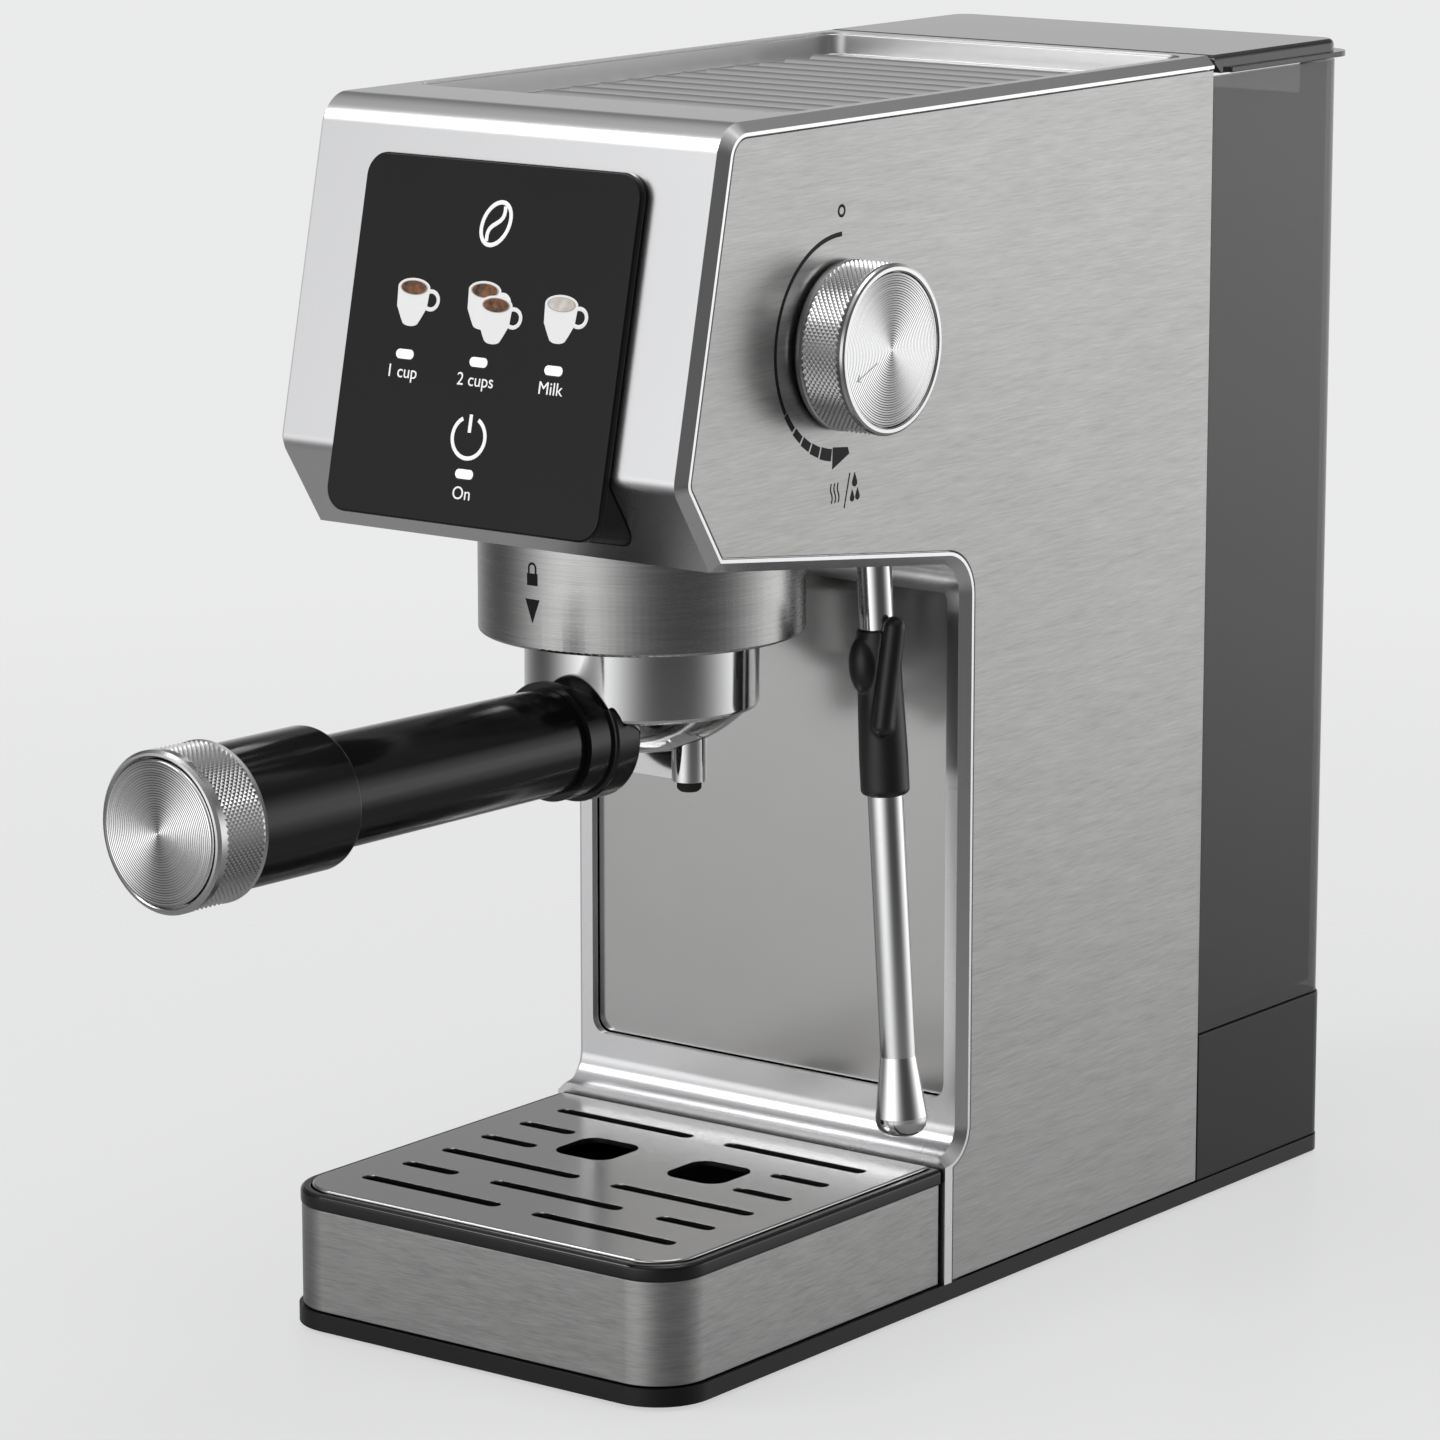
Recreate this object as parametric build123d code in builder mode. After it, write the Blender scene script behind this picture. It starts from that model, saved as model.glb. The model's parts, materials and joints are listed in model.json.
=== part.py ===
from build123d import *
import os
from math import cos, radians, sin, tan

# Pump espresso machine, built as separate pieces. Millimetres, +Z up, the front faces -Y.
# Origin: the centre of the body's footprint, on the worktop.

# ---------------------------------------------------------------- driving dimensions
width = 126.0                       # across the side panels
depth = 299.0                       # tray front to tank back, without handle and lid tab
height = 310.0                      # worktop to the top face
half_w = width / 2
front_y = -depth / 2
back_y = depth / 2

base_bottom = 1.0                   # underside of the floor pan, above the worktop
base_top = 5.5
tank_bay_y = 84.0                   # rear face of the casing
wall = 2.2                          # casing wall
gap = 0.3                           # room left between pieces that move apart
cutter = 400.0                      # longer than anything it cuts

# side view of the casing, as (y, z)
brow = (-144.5, 225.5)              # where the sloping face turns under
chin = (-130.5, 204.2)              # front end of the underside
face_tilt = 12.35                   # of the sloping face, from upright
column_y = -27.0                    # front of the column's frame
foot_y = -34.5                      # front of the casing's foot, behind the tray
foot_z = 39.0
soffit_slope = 0.123                # the underside falls towards the column
crown_y = brow[0] + (height - brow[1]) * tan(radians(face_tilt))
bevel = 2.4                         # bevel round the sides of the casing
panel_inset = 3.3                   # edge of the side panel, inside the casing's outline
panel_t = 1.2
rebate_t = 1.5                      # depth of the rebate that holds a side panel
frame_w = 5.0                       # width of the casing's frame behind a panel's edge

# control panel, on the sloping face
plate_w = 84.5
plate_h = 88.0
plate_t = 2.6
plate_mid = 53.0                    # centre of the plate, down the slope from face_ref
plate_round = 6.0
face_ref = (-126.9, 305.9)          # upper end of the flat of the sloping face
led_w = 5.4
led_h = 2.3
led_row = 57.4                      # distance of the three upper lights down the slope
led_pitch = 23.0
led_power = 84.4                    # the lower light

# group and portafilter
group_y = -78.5
ring_r = 41.0
ring_bottom = 176.3
ring_top = 207.0
head_r = 38.5
head_top = 216.0
cup_r = 29.5
cup_bottom = 157.0
cup_top = 198.0
dome_r = 37.1
dome_low = 144.8
basket_r = 26.0
spout_x = 14.8
spout_r = 4.4
spout_low = 139.0
handle_z = 152.6
handle_turn = 3.2                   # the handle stands this far to the left of straight ahead
collar_end = 36.0                   # distances along the handle, from the group's axis
sleeve_start = 119.4
ring_start = 152.6
cap_start = 165.6
handle_end = 169.8
grip_r = 13.6
sleeve_r = 17.5
knurl_r = 19.4

# steam knob and valve
knob_y = -80.8
knob_z = 253.2
knob_r = 20.8
knob_face_x = 78.4
spindle_r = 3.0

# steam wand
wand_x = 47.0
wand_y = -45.0
wand_z = 197.0                      # centre of its ball
wand_lean = 3.8
wand_tube_r = 4.4
wand_length = 150.5                 # ball centre to tip

# drip tray
tray_w = 124.0
tray_front = front_y + 1.0
tray_back = -35.2
tray_round = 14.0
tray_bottom = base_top + gap
skirt_top = 32.3
rim_top = 36.2
grille_top = 36.9
grille_w = 118.6
slot_w = 4.0
slot_pitch = 15.8

# water tank
tank_front = 84.9
tank_back = 149.3
tank_bottom = 46.8
tank_top = 304.4
tank_w = 124.6
tank_wall = 2.0
lid_bottom = 305.2
valve_y = 117.0

os.makedirs("parts", exist_ok=True)


# ---------------------------------------------------------------- shared shapes and helpers
def save(piece, name):
    """Label a finished piece and write it as its own node."""
    piece.part.label = name
    export_step(piece.part, f"parts/{name}.step")


def soffit(y):
    """Height of the casing's underside at y."""
    return chin[1] - soffit_slope * (y - chin[0])


def nearest(shape, y, z):
    """The corner of a side-view outline that is nearest to (y, z)."""
    return shape.vertices().sort_by_distance(Vector(y, z))[0]


def side_outline(back, bottom):
    """Side view of the casing as a face: head, chin, underside, column and foot."""
    corners = [
        (back, bottom),
        (back, height),
        (crown_y, height),
        brow,
        chin,
        (column_y, soffit(column_y)),
        (column_y, foot_z),
        (foot_y, foot_z),
        (foot_y, bottom),
    ]
    with BuildSketch() as outline:
        with BuildLine():
            Polyline(*corners, close=True)
        make_face()
        fillet(nearest(outline, crown_y, height), radius=9.0)
        fillet(nearest(outline, *brow), radius=6.0)
        fillet(nearest(outline, *corners[5]), radius=9.0)
        fillet(nearest(outline, column_y, foot_z), radius=7.0)
    return outline.sketch


closed_outline = side_outline(tank_bay_y, base_top)
open_outline = side_outline(tank_bay_y + 40.0, base_top - 40.0)    # runs past the back and the floor

# the sloping face: local X to the right, local Y up the slope, local Z out of the face
slope_down = Vector(0, -sin(radians(face_tilt)), -cos(radians(face_tilt)))
face_origin = Vector(0, *face_ref) + slope_down * plate_mid
face_out = Vector(0, -cos(radians(face_tilt)), sin(radians(face_tilt)))
face_plane = Plane(origin=face_origin, x_dir=(1, 0, 0), z_dir=face_out)

# the handle: local Z runs along it, away from the group's axis
handle_dir = Vector(-sin(radians(handle_turn)), -cos(radians(handle_turn)), 0)
handle_plane = Plane(origin=(0, group_y, handle_z), x_dir=(0, 0, 1), z_dir=handle_dir)

# the wand: local Z runs down it, from the centre of its ball
wand_dir = Vector(sin(radians(wand_lean)), 0, -cos(radians(wand_lean)))
wand_plane = Plane(origin=(wand_x, wand_y, wand_z), x_dir=(0, 1, 0), z_dir=wand_dir)

group_plane = Plane(origin=(0, group_y, 0), x_dir=(1, 0, 0), z_dir=(0, -1, 0))   # local Y is up

# ---------------------------------------------------------------- floor pan and feet
foot_spots = [(x, y) for x in (-46.0, 46.0) for y in (-120.0, 128.0)]
screw_spots = [(x, y) for x in (-46.0, 46.0) for y in (-29.0, 78.0)]
screw_seat = 3.2                    # height that the heads of the floor screws bear on
screw_r = 1.5
screw_head_r = 3.0
screw_head_t = 1.9
screw_length = 5.0

with BuildPart() as base_pan:
    with BuildSketch(Plane.XY.offset(base_bottom)):
        Rectangle(width, depth)
        fillet(vertices().group_by(Axis.Y)[0], radius=15.0)
        fillet(vertices().group_by(Axis.Y)[-1], radius=6.0)
    extrude(amount=base_top - base_bottom)
    with BuildSketch(Plane.XY.offset(3.0)):
        with Locations((0, 25.0)):
            RectangleRounded(112.0, 104.0, 4.0)
    extrude(amount=base_top, mode=Mode.SUBTRACT)
    with BuildSketch(Plane.XY):
        with Locations(*foot_spots):
            Circle(8.3)
    extrude(amount=2.2, mode=Mode.SUBTRACT)
    with BuildSketch(Plane.XY):
        with Locations(*screw_spots):
            Circle(screw_head_r + gap)
    extrude(amount=screw_seat, mode=Mode.SUBTRACT)
    with BuildSketch(Plane.XY):
        with Locations(*screw_spots):
            Circle(screw_r + 0.1)
    extrude(amount=cutter, mode=Mode.SUBTRACT)
    with BuildSketch(Plane.XY):
        with Locations((0, 25.0)):
            with GridLocations(0, 9.0, 1, 7):
                SlotOverall(60.0, 3.0)
    extrude(amount=cutter, mode=Mode.SUBTRACT)
save(base_pan, "base_pan")

with BuildPart() as feet:
    with BuildSketch(Plane.XY):
        with Locations(*foot_spots):
            Circle(8.0)
    extrude(amount=2.2)
    chamfer(feet.edges().group_by(Axis.Z)[0], length=0.4)
save(feet, "rubber_feet")

# ---------------------------------------------------------------- casing
warmer_front = -97.0
warmer_back = 80.0
warmer_w = 115.0
group_hole_r = ring_r + 0.4
wand_hole_r = 10.4
window_w = plate_w - 1.2

with BuildPart() as casing:
    with BuildSketch(Plane.YZ):
        add(closed_outline)
    extrude(amount=half_w, both=True)
    side_edges = casing.faces().filter_by(Axis.X).edges()
    bevelled = [
        edge for edge in side_edges
        if edge.center().Y < tank_bay_y - 0.1 and edge.center().Z > base_top + 0.1
        and not (abs(edge.center().Y - foot_y) < 0.1 and edge.center().Z < foot_z)
    ]
    chamfer(bevelled, length=bevel)
    with BuildSketch(Plane.YZ):
        add(open_outline)
        offset(amount=-wall, mode=Mode.REPLACE)
    extrude(amount=half_w - frame_w, both=True, mode=Mode.SUBTRACT)
    with BuildSketch(Plane.YZ):
        add(open_outline)
        offset(amount=-(panel_inset + frame_w), mode=Mode.REPLACE)
    extrude(amount=cutter, both=True, mode=Mode.SUBTRACT)
    for side in (-1, 1):
        with BuildSketch(Plane.YZ.offset(side * (half_w - rebate_t))):
            add(open_outline)
            offset(amount=-panel_inset, mode=Mode.REPLACE)
        extrude(amount=side * cutter, mode=Mode.SUBTRACT)
    # opening for the cup warmer
    with BuildSketch(Plane.XY.offset(height - 12.0)):
        with Locations((0, (warmer_front + warmer_back) / 2)):
            RectangleRounded(warmer_w, warmer_back - warmer_front, 6.0)
    extrude(amount=cutter, mode=Mode.SUBTRACT)
    # window for the control housing, down through the chin
    with BuildSketch(face_plane.offset(-20.0)):
        with Locations((0, -1.0)):
            RectangleRounded(window_w, plate_h - 2.6, 5.0)
    extrude(amount=cutter, mode=Mode.SUBTRACT)
    # holes in the underside for the group ring and the wand
    with BuildSketch(Plane.XY.offset(chin[1] - 20.0)):
        with Locations((0, group_y)):
            Circle(group_hole_r)
        with Locations((wand_x, wand_y)):
            Circle(wand_hole_r)
    extrude(amount=24.0, mode=Mode.SUBTRACT)
    # recess that the backsplash lies in
    with BuildSketch(Plane.XZ.offset(-column_y)):
        with Locations((0, 118.5)):
            RectangleRounded(114.0, 133.0, 4.0)
    extrude(amount=-4.0, mode=Mode.SUBTRACT)
save(casing, "casing")

with BuildPart() as backsplash:
    with BuildSketch(Plane.XZ.offset(-column_y - 2.6)):
        with Locations((0, 118.5)):
            RectangleRounded(113.6, 132.6, 3.8)
    extrude(amount=-1.2)
save(backsplash, "backsplash")

# ---------------------------------------------------------------- side panels
for name, side in (("side_panel_left", -1), ("side_panel_right", 1)):
    with BuildPart() as side_panel:
        with BuildSketch(Plane.YZ.offset(side * (half_w - panel_t))):
            add(open_outline)
            offset(amount=-(panel_inset + gap), mode=Mode.REPLACE)
            with Locations((tank_bay_y - 0.2, base_top + 0.5)):
                Rectangle(cutter, cutter, align=(Align.MAX, Align.MIN), mode=Mode.INTERSECT)
        extrude(amount=side * panel_t)
        if side > 0:
            with Locations(Plane.YZ.offset(half_w)):
                with Locations((knob_y, knob_z)):
                    Hole(radius=5.0, depth=10.0)
    save(side_panel, name)

# ---------------------------------------------------------------- cup warmer
rib_pitch = 11.5
rib_count = 13
warmer_floor = 304.2

with BuildPart() as cup_warmer:
    with BuildSketch(Plane.XY.offset(warmer_floor - 1.0)):
        with Locations((0, (warmer_front + warmer_back) / 2)):
            RectangleRounded(warmer_w - 0.4, warmer_back - warmer_front - 0.4, 5.8)
    extrude(amount=5.4 + 1.0)
    with BuildSketch(Plane.XY.offset(warmer_floor)):
        with Locations((0, (warmer_front + warmer_back) / 2)):
            RectangleRounded(warmer_w - 2.4, warmer_back - warmer_front - 2.4, 4.8)
    extrude(amount=cutter, mode=Mode.SUBTRACT)
    rib_mid = (warmer_front + warmer_back) / 2 - 1.5
    with BuildSketch(Plane.YZ.offset(-48.0)):
        for index in range(rib_count):
            rib_y = rib_mid + (index - (rib_count - 1) / 2) * rib_pitch
            with Locations((rib_y, warmer_floor - 1.6)):
                Circle(3.4)
        with Locations((0, warmer_floor - 0.5)):
            Rectangle(cutter, 10.0, align=(Align.CENTER, Align.MIN), mode=Mode.INTERSECT)
    extrude(amount=96.0)
save(cup_warmer, "cup_warmer_plate")

# ---------------------------------------------------------------- rear wall, base, tank seat and gland
hose_hole_r = 6.0
hose_z = 26.0                       # height of the hose where it passes the rear wall
base_wall = 3.0
base_deck = 39.5                    # underside of the rear base's upper deck
seat_r = 14.8
seat_floor_low = 30.0
seat_floor_high = 33.0
seat_top = 41.0
seat_pin_r = 4.2
hose_r = 3.2
hose_way_r = 2.6

with BuildPart() as back_wall:
    with BuildSketch(Plane.XZ.offset(-tank_bay_y + 0.4)):
        with Locations((0, (base_top + height - wall) / 2)):
            Rectangle(2 * (half_w - frame_w) - 0.6, height - wall - base_top - 0.6)
    extrude(amount=2.4)
    with BuildSketch(Plane.XZ.offset(-tank_bay_y)):
        with Locations((0, hose_z)):
            Circle(hose_hole_r)
        with Locations((0, 200.0)):
            with GridLocations(0, 8.0, 1, 6):
                SlotOverall(50.0, 3.0)
    extrude(amount=10.0, mode=Mode.SUBTRACT)
save(back_wall, "back_wall")

gland_x = -38.0
gland_z = 24.0
gland_r = 6.5
lead_r = 3.6
with BuildPart() as rear_base:
    with BuildSketch(Plane.XY.offset(base_top)):
        with Locations((0, (tank_bay_y + 0.3 + back_y) / 2)):
            Rectangle(width - 0.4, back_y - tank_bay_y - 0.3)
        fillet(vertices().group_by(Axis.Y)[-1], radius=6.0)
    extrude(amount=tank_bottom - gap - base_top)
    with BuildSketch(Plane.XY.offset(base_top)):
        with Locations((0, (tank_bay_y + back_y) / 2)):
            RectangleRounded(width - 2 * base_wall, back_y - tank_bay_y - 2 * base_wall, 4.0)
    extrude(amount=base_deck - base_top, mode=Mode.SUBTRACT)
    with BuildSketch(Plane.XY.offset(base_deck - 1.0)):
        with Locations((0, valve_y)):
            Circle(seat_r + 0.2)
    extrude(amount=cutter, mode=Mode.SUBTRACT)
    with BuildSketch(Plane.XZ.offset(-back_y - 1.0)):
        with Locations((gland_x, gland_z)):
            Circle(gland_r + 0.1)
    extrude(amount=10.0, mode=Mode.SUBTRACT)
    with BuildSketch(Plane.XZ.offset(-tank_bay_y)):
        with Locations((0, hose_z)):
            Circle(hose_hole_r)
    extrude(amount=-8.0, mode=Mode.SUBTRACT)
save(rear_base, "rear_base")

with BuildPart() as tank_seat:
    with BuildSketch(Plane.XY.offset(seat_floor_low)):
        with Locations((0, valve_y)):
            Circle(seat_r)
            Circle(hose_way_r, mode=Mode.SUBTRACT)
    extrude(amount=seat_floor_high - seat_floor_low)
    with BuildSketch(Plane.XY.offset(seat_floor_high)):
        with Locations((0, valve_y)):
            Circle(seat_r)
            Circle(seat_r - 2.6, mode=Mode.SUBTRACT)
    extrude(amount=seat_top - seat_floor_high)
    with BuildSketch(Plane.XY.offset(seat_floor_low - 8.0)):
        with Locations((0, valve_y)):
            Circle(seat_pin_r)
            Circle(hose_way_r, mode=Mode.SUBTRACT)
    extrude(amount=8.0)
save(tank_seat, "tank_seat")

with BuildPart() as cord_gland:
    with BuildSketch(Plane.XZ.offset(-back_y)):
        with Locations((gland_x, gland_z)):
            Circle(9.0)
    extrude(amount=-2.4)
    with BuildSketch(Plane.XZ.offset(-back_y)):
        with Locations((gland_x, gland_z)):
            Circle(gland_r)
    extrude(amount=7.0)
    with BuildSketch(Plane.XZ.offset(-back_y - 10.0)):
        with Locations((gland_x, gland_z)):
            Circle(lead_r)
    extrude(amount=40.0, mode=Mode.SUBTRACT)
save(cord_gland, "cord_gland")

# ---------------------------------------------------------------- control panel
light_spots = [(x, plate_mid - led_row) for x in (-led_pitch, 0.0, led_pitch)]
light_spots.append((0.0, plate_mid - led_power))

with BuildPart() as control_panel:
    with BuildSketch(face_plane.offset(0.4)):
        RectangleRounded(plate_w, plate_h, plate_round)
    extrude(amount=plate_t)
    chamfer(control_panel.faces().sort_by(Axis.Y)[0].edges(), length=0.4)
    with BuildSketch(face_plane):
        with Locations(*light_spots):
            SlotOverall(led_w + 0.1, led_h + 0.1)
    extrude(amount=10.0, mode=Mode.SUBTRACT)
save(control_panel, "control_panel")

with BuildPart() as indicator_lights:
    with BuildSketch(face_plane.offset(0.6)):
        with Locations(*light_spots):
            SlotOverall(led_w, led_h)
    extrude(amount=plate_t - 0.2)
save(indicator_lights, "indicator_lights")

housing_w = window_w - 0.6
housing_h = plate_h - 3.2
housing_depth = 15.0
with BuildPart() as control_housing:
    with BuildSketch(face_plane.offset(0.3 - housing_depth)):
        with Locations((0, -1.0)):
            RectangleRounded(housing_w, housing_h, 4.7)
    extrude(amount=housing_depth)
    with BuildSketch(face_plane.offset(0.3 - housing_depth - 1.0)):
        with Locations((0, -1.0)):
            RectangleRounded(housing_w - 4.0, housing_h - 4.0, 3.0)
    extrude(amount=housing_depth - 1.0, mode=Mode.SUBTRACT)
save(control_housing, "control_housing")

with BuildPart() as control_board:
    with BuildSketch(face_plane.offset(-5.0)):
        with Locations((0, -1.0)):
            RectangleRounded(housing_w - 5.0, housing_h - 5.0, 2.0)
    extrude(amount=1.6)
    with BuildSketch(face_plane.offset(-5.0)):
        with Locations((-18.0, 18.0), (16.0, 14.0), (0.0, -22.0)):
            Rectangle(14.0, 9.0)
    extrude(amount=-4.0)
save(control_board, "control_board")

# ---------------------------------------------------------------- group
lug_angles = (0.0, 180.0)
lug_span = 40.0
ledge_low = 179.0
ledge_high = 184.7
groove_top = 192.0
bore_r = cup_r + 0.8
groove_r = 35.2
lug_r = 34.4
lug_low = 185.1
lug_high = 191.0
boiler_bolt_r = 35.3                # radius of the ring of screws that holds the boiler
boiler_flange = 3.0
entry_turn = 45.0                   # how far the portafilter turns from its entry to its locked place


def sector(radius, angle, span):
    """A wedge about the group's axis, for lugs and their entry slots."""
    start = Vector(cos(radians(angle - span / 2)), sin(radians(angle - span / 2))) * radius
    end = Vector(cos(radians(angle + span / 2)), sin(radians(angle + span / 2))) * radius
    middle = Vector(cos(radians(angle)), sin(radians(angle))) * radius
    with BuildSketch() as wedge:
        with BuildLine():
            Line((0, 0), start)
            ThreePointArc(start, middle, end)
            Line(end, (0, 0))
        make_face()
    return wedge.sketch


group_floor = Plane(origin=(0, group_y, 0))

with BuildPart() as group_ring:
    with BuildSketch(group_floor.offset(ring_bottom)):
        Circle(ring_r)
        Circle(ring_r - 2.2, mode=Mode.SUBTRACT)
    extrude(amount=ring_top - ring_bottom)
    with BuildSketch(group_floor.offset(ring_bottom)):
        Circle(ring_r - 1.0)
        Circle(groove_r + 0.3, mode=Mode.SUBTRACT)
    extrude(amount=1.4)
    lower_circles = group_ring.edges().filter_by(GeomType.CIRCLE).group_by(Axis.Z)[0]
    fillet(lower_circles.sort_by(SortBy.RADIUS)[-1], radius=0.8)
save(group_ring, "group_ring")

with BuildPart() as group_head:
    with BuildSketch(group_floor.offset(ledge_low)):
        Circle(head_r)
    extrude(amount=head_top - ledge_low)
    with BuildSketch(group_floor.offset(ledge_low)):
        Circle(bore_r)
    extrude(amount=25.0, mode=Mode.SUBTRACT)
    with BuildSketch(group_floor.offset(ledge_high)):
        Circle(groove_r)
    extrude(amount=groove_top - ledge_high, mode=Mode.SUBTRACT)
    with BuildSketch(group_floor.offset(201.7)):
        Circle(24.5)
    extrude(amount=4.0)
    with BuildSketch(group_floor.offset(200.0)):
        Circle(2.6)
    extrude(amount=10.0, mode=Mode.SUBTRACT)
    with BuildSketch(group_floor.offset(head_top)):
        with PolarLocations(boiler_bolt_r, 4, start_angle=45):
            Circle(screw_r + 0.1)
    extrude(amount=-screw_length, mode=Mode.SUBTRACT)
    for lug_angle in lug_angles:
        with BuildSketch(group_floor.offset(ledge_low)):
            add(sector(groove_r - 0.2, lug_angle - entry_turn, lug_span + 4.0))
        extrude(amount=ledge_high - ledge_low + 0.6, mode=Mode.SUBTRACT)
save(group_head, "group_head")

with BuildPart() as group_gasket:
    with BuildSketch(group_floor.offset(199.3)):
        Circle(30.1)
        Circle(24.8, mode=Mode.SUBTRACT)
    extrude(amount=4.6)
save(group_gasket, "group_gasket")

with BuildPart() as shower_screen:
    with BuildSketch(group_floor.offset(200.2)):
        Circle(24.4)
        Circle(2.8, mode=Mode.SUBTRACT)
        for hole_ring in (8.0, 13.0, 18.0):
            with PolarLocations(hole_ring, int(hole_ring * 1.2)):
                Circle(0.8, mode=Mode.SUBTRACT)
    extrude(amount=1.4)
save(shower_screen, "shower_screen")

with BuildPart() as screen_screw:
    with BuildSketch(group_floor.offset(198.2)):
        Circle(4.5)
    extrude(amount=1.9)
    with BuildSketch(group_floor.offset(200.1)):
        Circle(2.5)
    extrude(amount=8.0)
    with BuildSketch(group_floor.offset(198.2)):
        RegularPolygon(2.0, 6)
    extrude(amount=1.2, mode=Mode.SUBTRACT)
save(screen_screw, "screen_screw")

# ---------------------------------------------------------------- boiler, pump and pipes
boiler_r = 32.0
boiler_top = 268.0

with BuildPart() as boiler:
    with BuildSketch(group_floor.offset(head_top)):
        Circle(head_r)
        with PolarLocations(boiler_bolt_r, 4, start_angle=45):
            Circle(screw_r + 0.1, mode=Mode.SUBTRACT)
    extrude(amount=boiler_flange)
    with BuildSketch(group_floor.offset(head_top + boiler_flange)):
        Circle(boiler_r)
    extrude(amount=boiler_top - head_top - boiler_flange)
    fillet(boiler.edges().group_by(Axis.Z)[-1], radius=5.0)
    with BuildSketch(group_floor.offset(head_top)):
        Circle(boiler_r - 5.0)
    extrude(amount=boiler_top - head_top - 6.0, mode=Mode.SUBTRACT)
save(boiler, "boiler")

# eight alike: four hold the floor pan from below, four hold the boiler from above
floor_screws = [Location((x, y, screw_seat), (180, 0, 0)) for x, y in screw_spots]
with PolarLocations(boiler_bolt_r, 4, start_angle=45) as bolt_circle:
    boiler_screws = [
        Location((spot.position.X, group_y + spot.position.Y, head_top + boiler_flange))
        for spot in bolt_circle.locations
    ]

with BuildPart() as screw:
    with BuildSketch():
        Circle(screw_head_r)
    extrude(amount=screw_head_t)
    with BuildSketch(Plane.XY.offset(screw_head_t)):
        RegularPolygon(1.5, 6)
    extrude(amount=-1.0, mode=Mode.SUBTRACT)
    with BuildSketch():
        Circle(screw_r)
    extrude(amount=-screw_length)

with BuildPart() as screws:
    with Locations(*floor_screws, *boiler_screws):
        add(screw.part)
save(screws, "screws")

with BuildPart() as thermostats:
    with BuildSketch(group_floor.offset(boiler_top)):
        with Locations((-11.0, 0.0), (11.0, 0.0)):
            Circle(7.5)
    extrude(amount=6.0)
    with BuildSketch(group_floor.offset(boiler_top + 6.0)):
        with Locations((-14.0, 0.0), (-8.0, 0.0), (8.0, 0.0), (14.0, 0.0)):
            Rectangle(0.8, 4.0)
    extrude(amount=6.0)
save(thermostats, "thermostats")

pump_x = -24.0
pump_y = 20.0
pump_low = 70.0
pump_floor = Plane(origin=(pump_x, pump_y, 0))

with BuildPart() as pump:
    with BuildSketch(pump_floor.offset(pump_low)):
        RectangleRounded(36.0, 36.0, 4.0)
    extrude(amount=42.0)
    with BuildSketch(pump_floor.offset(pump_low - 16.0)):
        Circle(9.0)
    extrude(amount=90.0)
    with BuildSketch(pump_floor.offset(pump_low - 26.0)):
        Circle(3.5)
    extrude(amount=112.0)
save(pump, "pump")

with BuildPart() as pump_mounts:
    for mount_low in (pump_low - 11.0, pump_low + 47.0):
        with BuildSketch(pump_floor.offset(mount_low)):
            RectangleRounded(30.0, 30.0, 5.0)
            Circle(9.1, mode=Mode.SUBTRACT)
        extrude(amount=6.0)
save(pump_mounts, "pump_mounts")

solenoid_x = 26.0
solenoid_low = 140.0
solenoid_floor = Plane(origin=(solenoid_x, pump_y, solenoid_low))

with BuildPart() as solenoid_valve:
    with BuildSketch(solenoid_floor.offset(10.0)):
        RectangleRounded(24.0, 28.0, 3.0)
    extrude(amount=32.0)
    with BuildSketch(solenoid_floor):
        Circle(8.0)
    extrude(amount=52.0)
save(solenoid_valve, "solenoid_valve")

with BuildPart() as power_board:
    with BuildSketch(Plane.XZ.offset(-66.0)):
        with Locations((0, 225.0)):
            RectangleRounded(90.0, 70.0, 3.0)
    extrude(amount=1.6)
    with BuildSketch(Plane.XZ.offset(-64.4)):
        with Locations((-28.0, 240.0), (0.0, 236.0), (26.0, 242.0)):
            Rectangle(18.0, 16.0)
        with Locations((-20.0, 208.0), (18.0, 208.0)):
            Circle(6.0)
    extrude(amount=14.0)
save(power_board, "power_board")

with BuildPart() as steam_valve:
    with BuildSketch(Plane.YZ.offset(41.0)):
        with Locations((knob_y, knob_z)):
            RectangleRounded(20.0, 22.0, 2.0)
    extrude(amount=15.0)
    with BuildSketch(Plane.YZ.offset(56.0)):
        with Locations((knob_y, knob_z)):
            Circle(7.5)
    extrude(amount=4.0)
    with BuildSketch(Plane.YZ.offset(44.0)):
        with Locations((knob_y, knob_z)):
            Circle(spindle_r + 0.06)
    extrude(amount=cutter, mode=Mode.SUBTRACT)
save(steam_valve, "steam_valve_body")


pump_out = (pump_x, pump_y, pump_low + 86.4)
boiler_in = (-24.0, group_y + 16.0, boiler_top + 0.4)
boiler_out = (22.0, group_y + 14.0, boiler_top + 0.4)
pipe_runs = [
    [pump_out, (pump_x, pump_y, 286.0), (-24.0, group_y + 16.0, 286.0), boiler_in],
    [boiler_out, (22.0, group_y + 14.0, 280.0), (48.0, knob_y, 280.0), (48.0, knob_y, knob_z + 11.2)],
    [(48.0, knob_y, knob_z - 11.2), (48.0, knob_y, 224.0), (wand_x, wand_y, 224.0), (wand_x, wand_y, 210.4)],
]
hose_run = [
    (0, valve_y, seat_floor_low - 8.2),
    (0, valve_y, 14.0),
    (0, 100.0, 14.0),
    (0, 92.0, hose_z),
    (0, 50.0, hose_z),
    (pump_x, pump_y, hose_z),
    (pump_x, pump_y, pump_low - 26.2),
]

with BuildPart() as inlet_hose:
    with BuildLine() as route:
        FilletPolyline(*hose_run, radius=5.0)
    with BuildSketch(Plane(origin=route.line @ 0, z_dir=route.line % 0)):
        Circle(hose_r)
    sweep(path=route.line)
save(inlet_hose, "inlet_hose")

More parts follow.
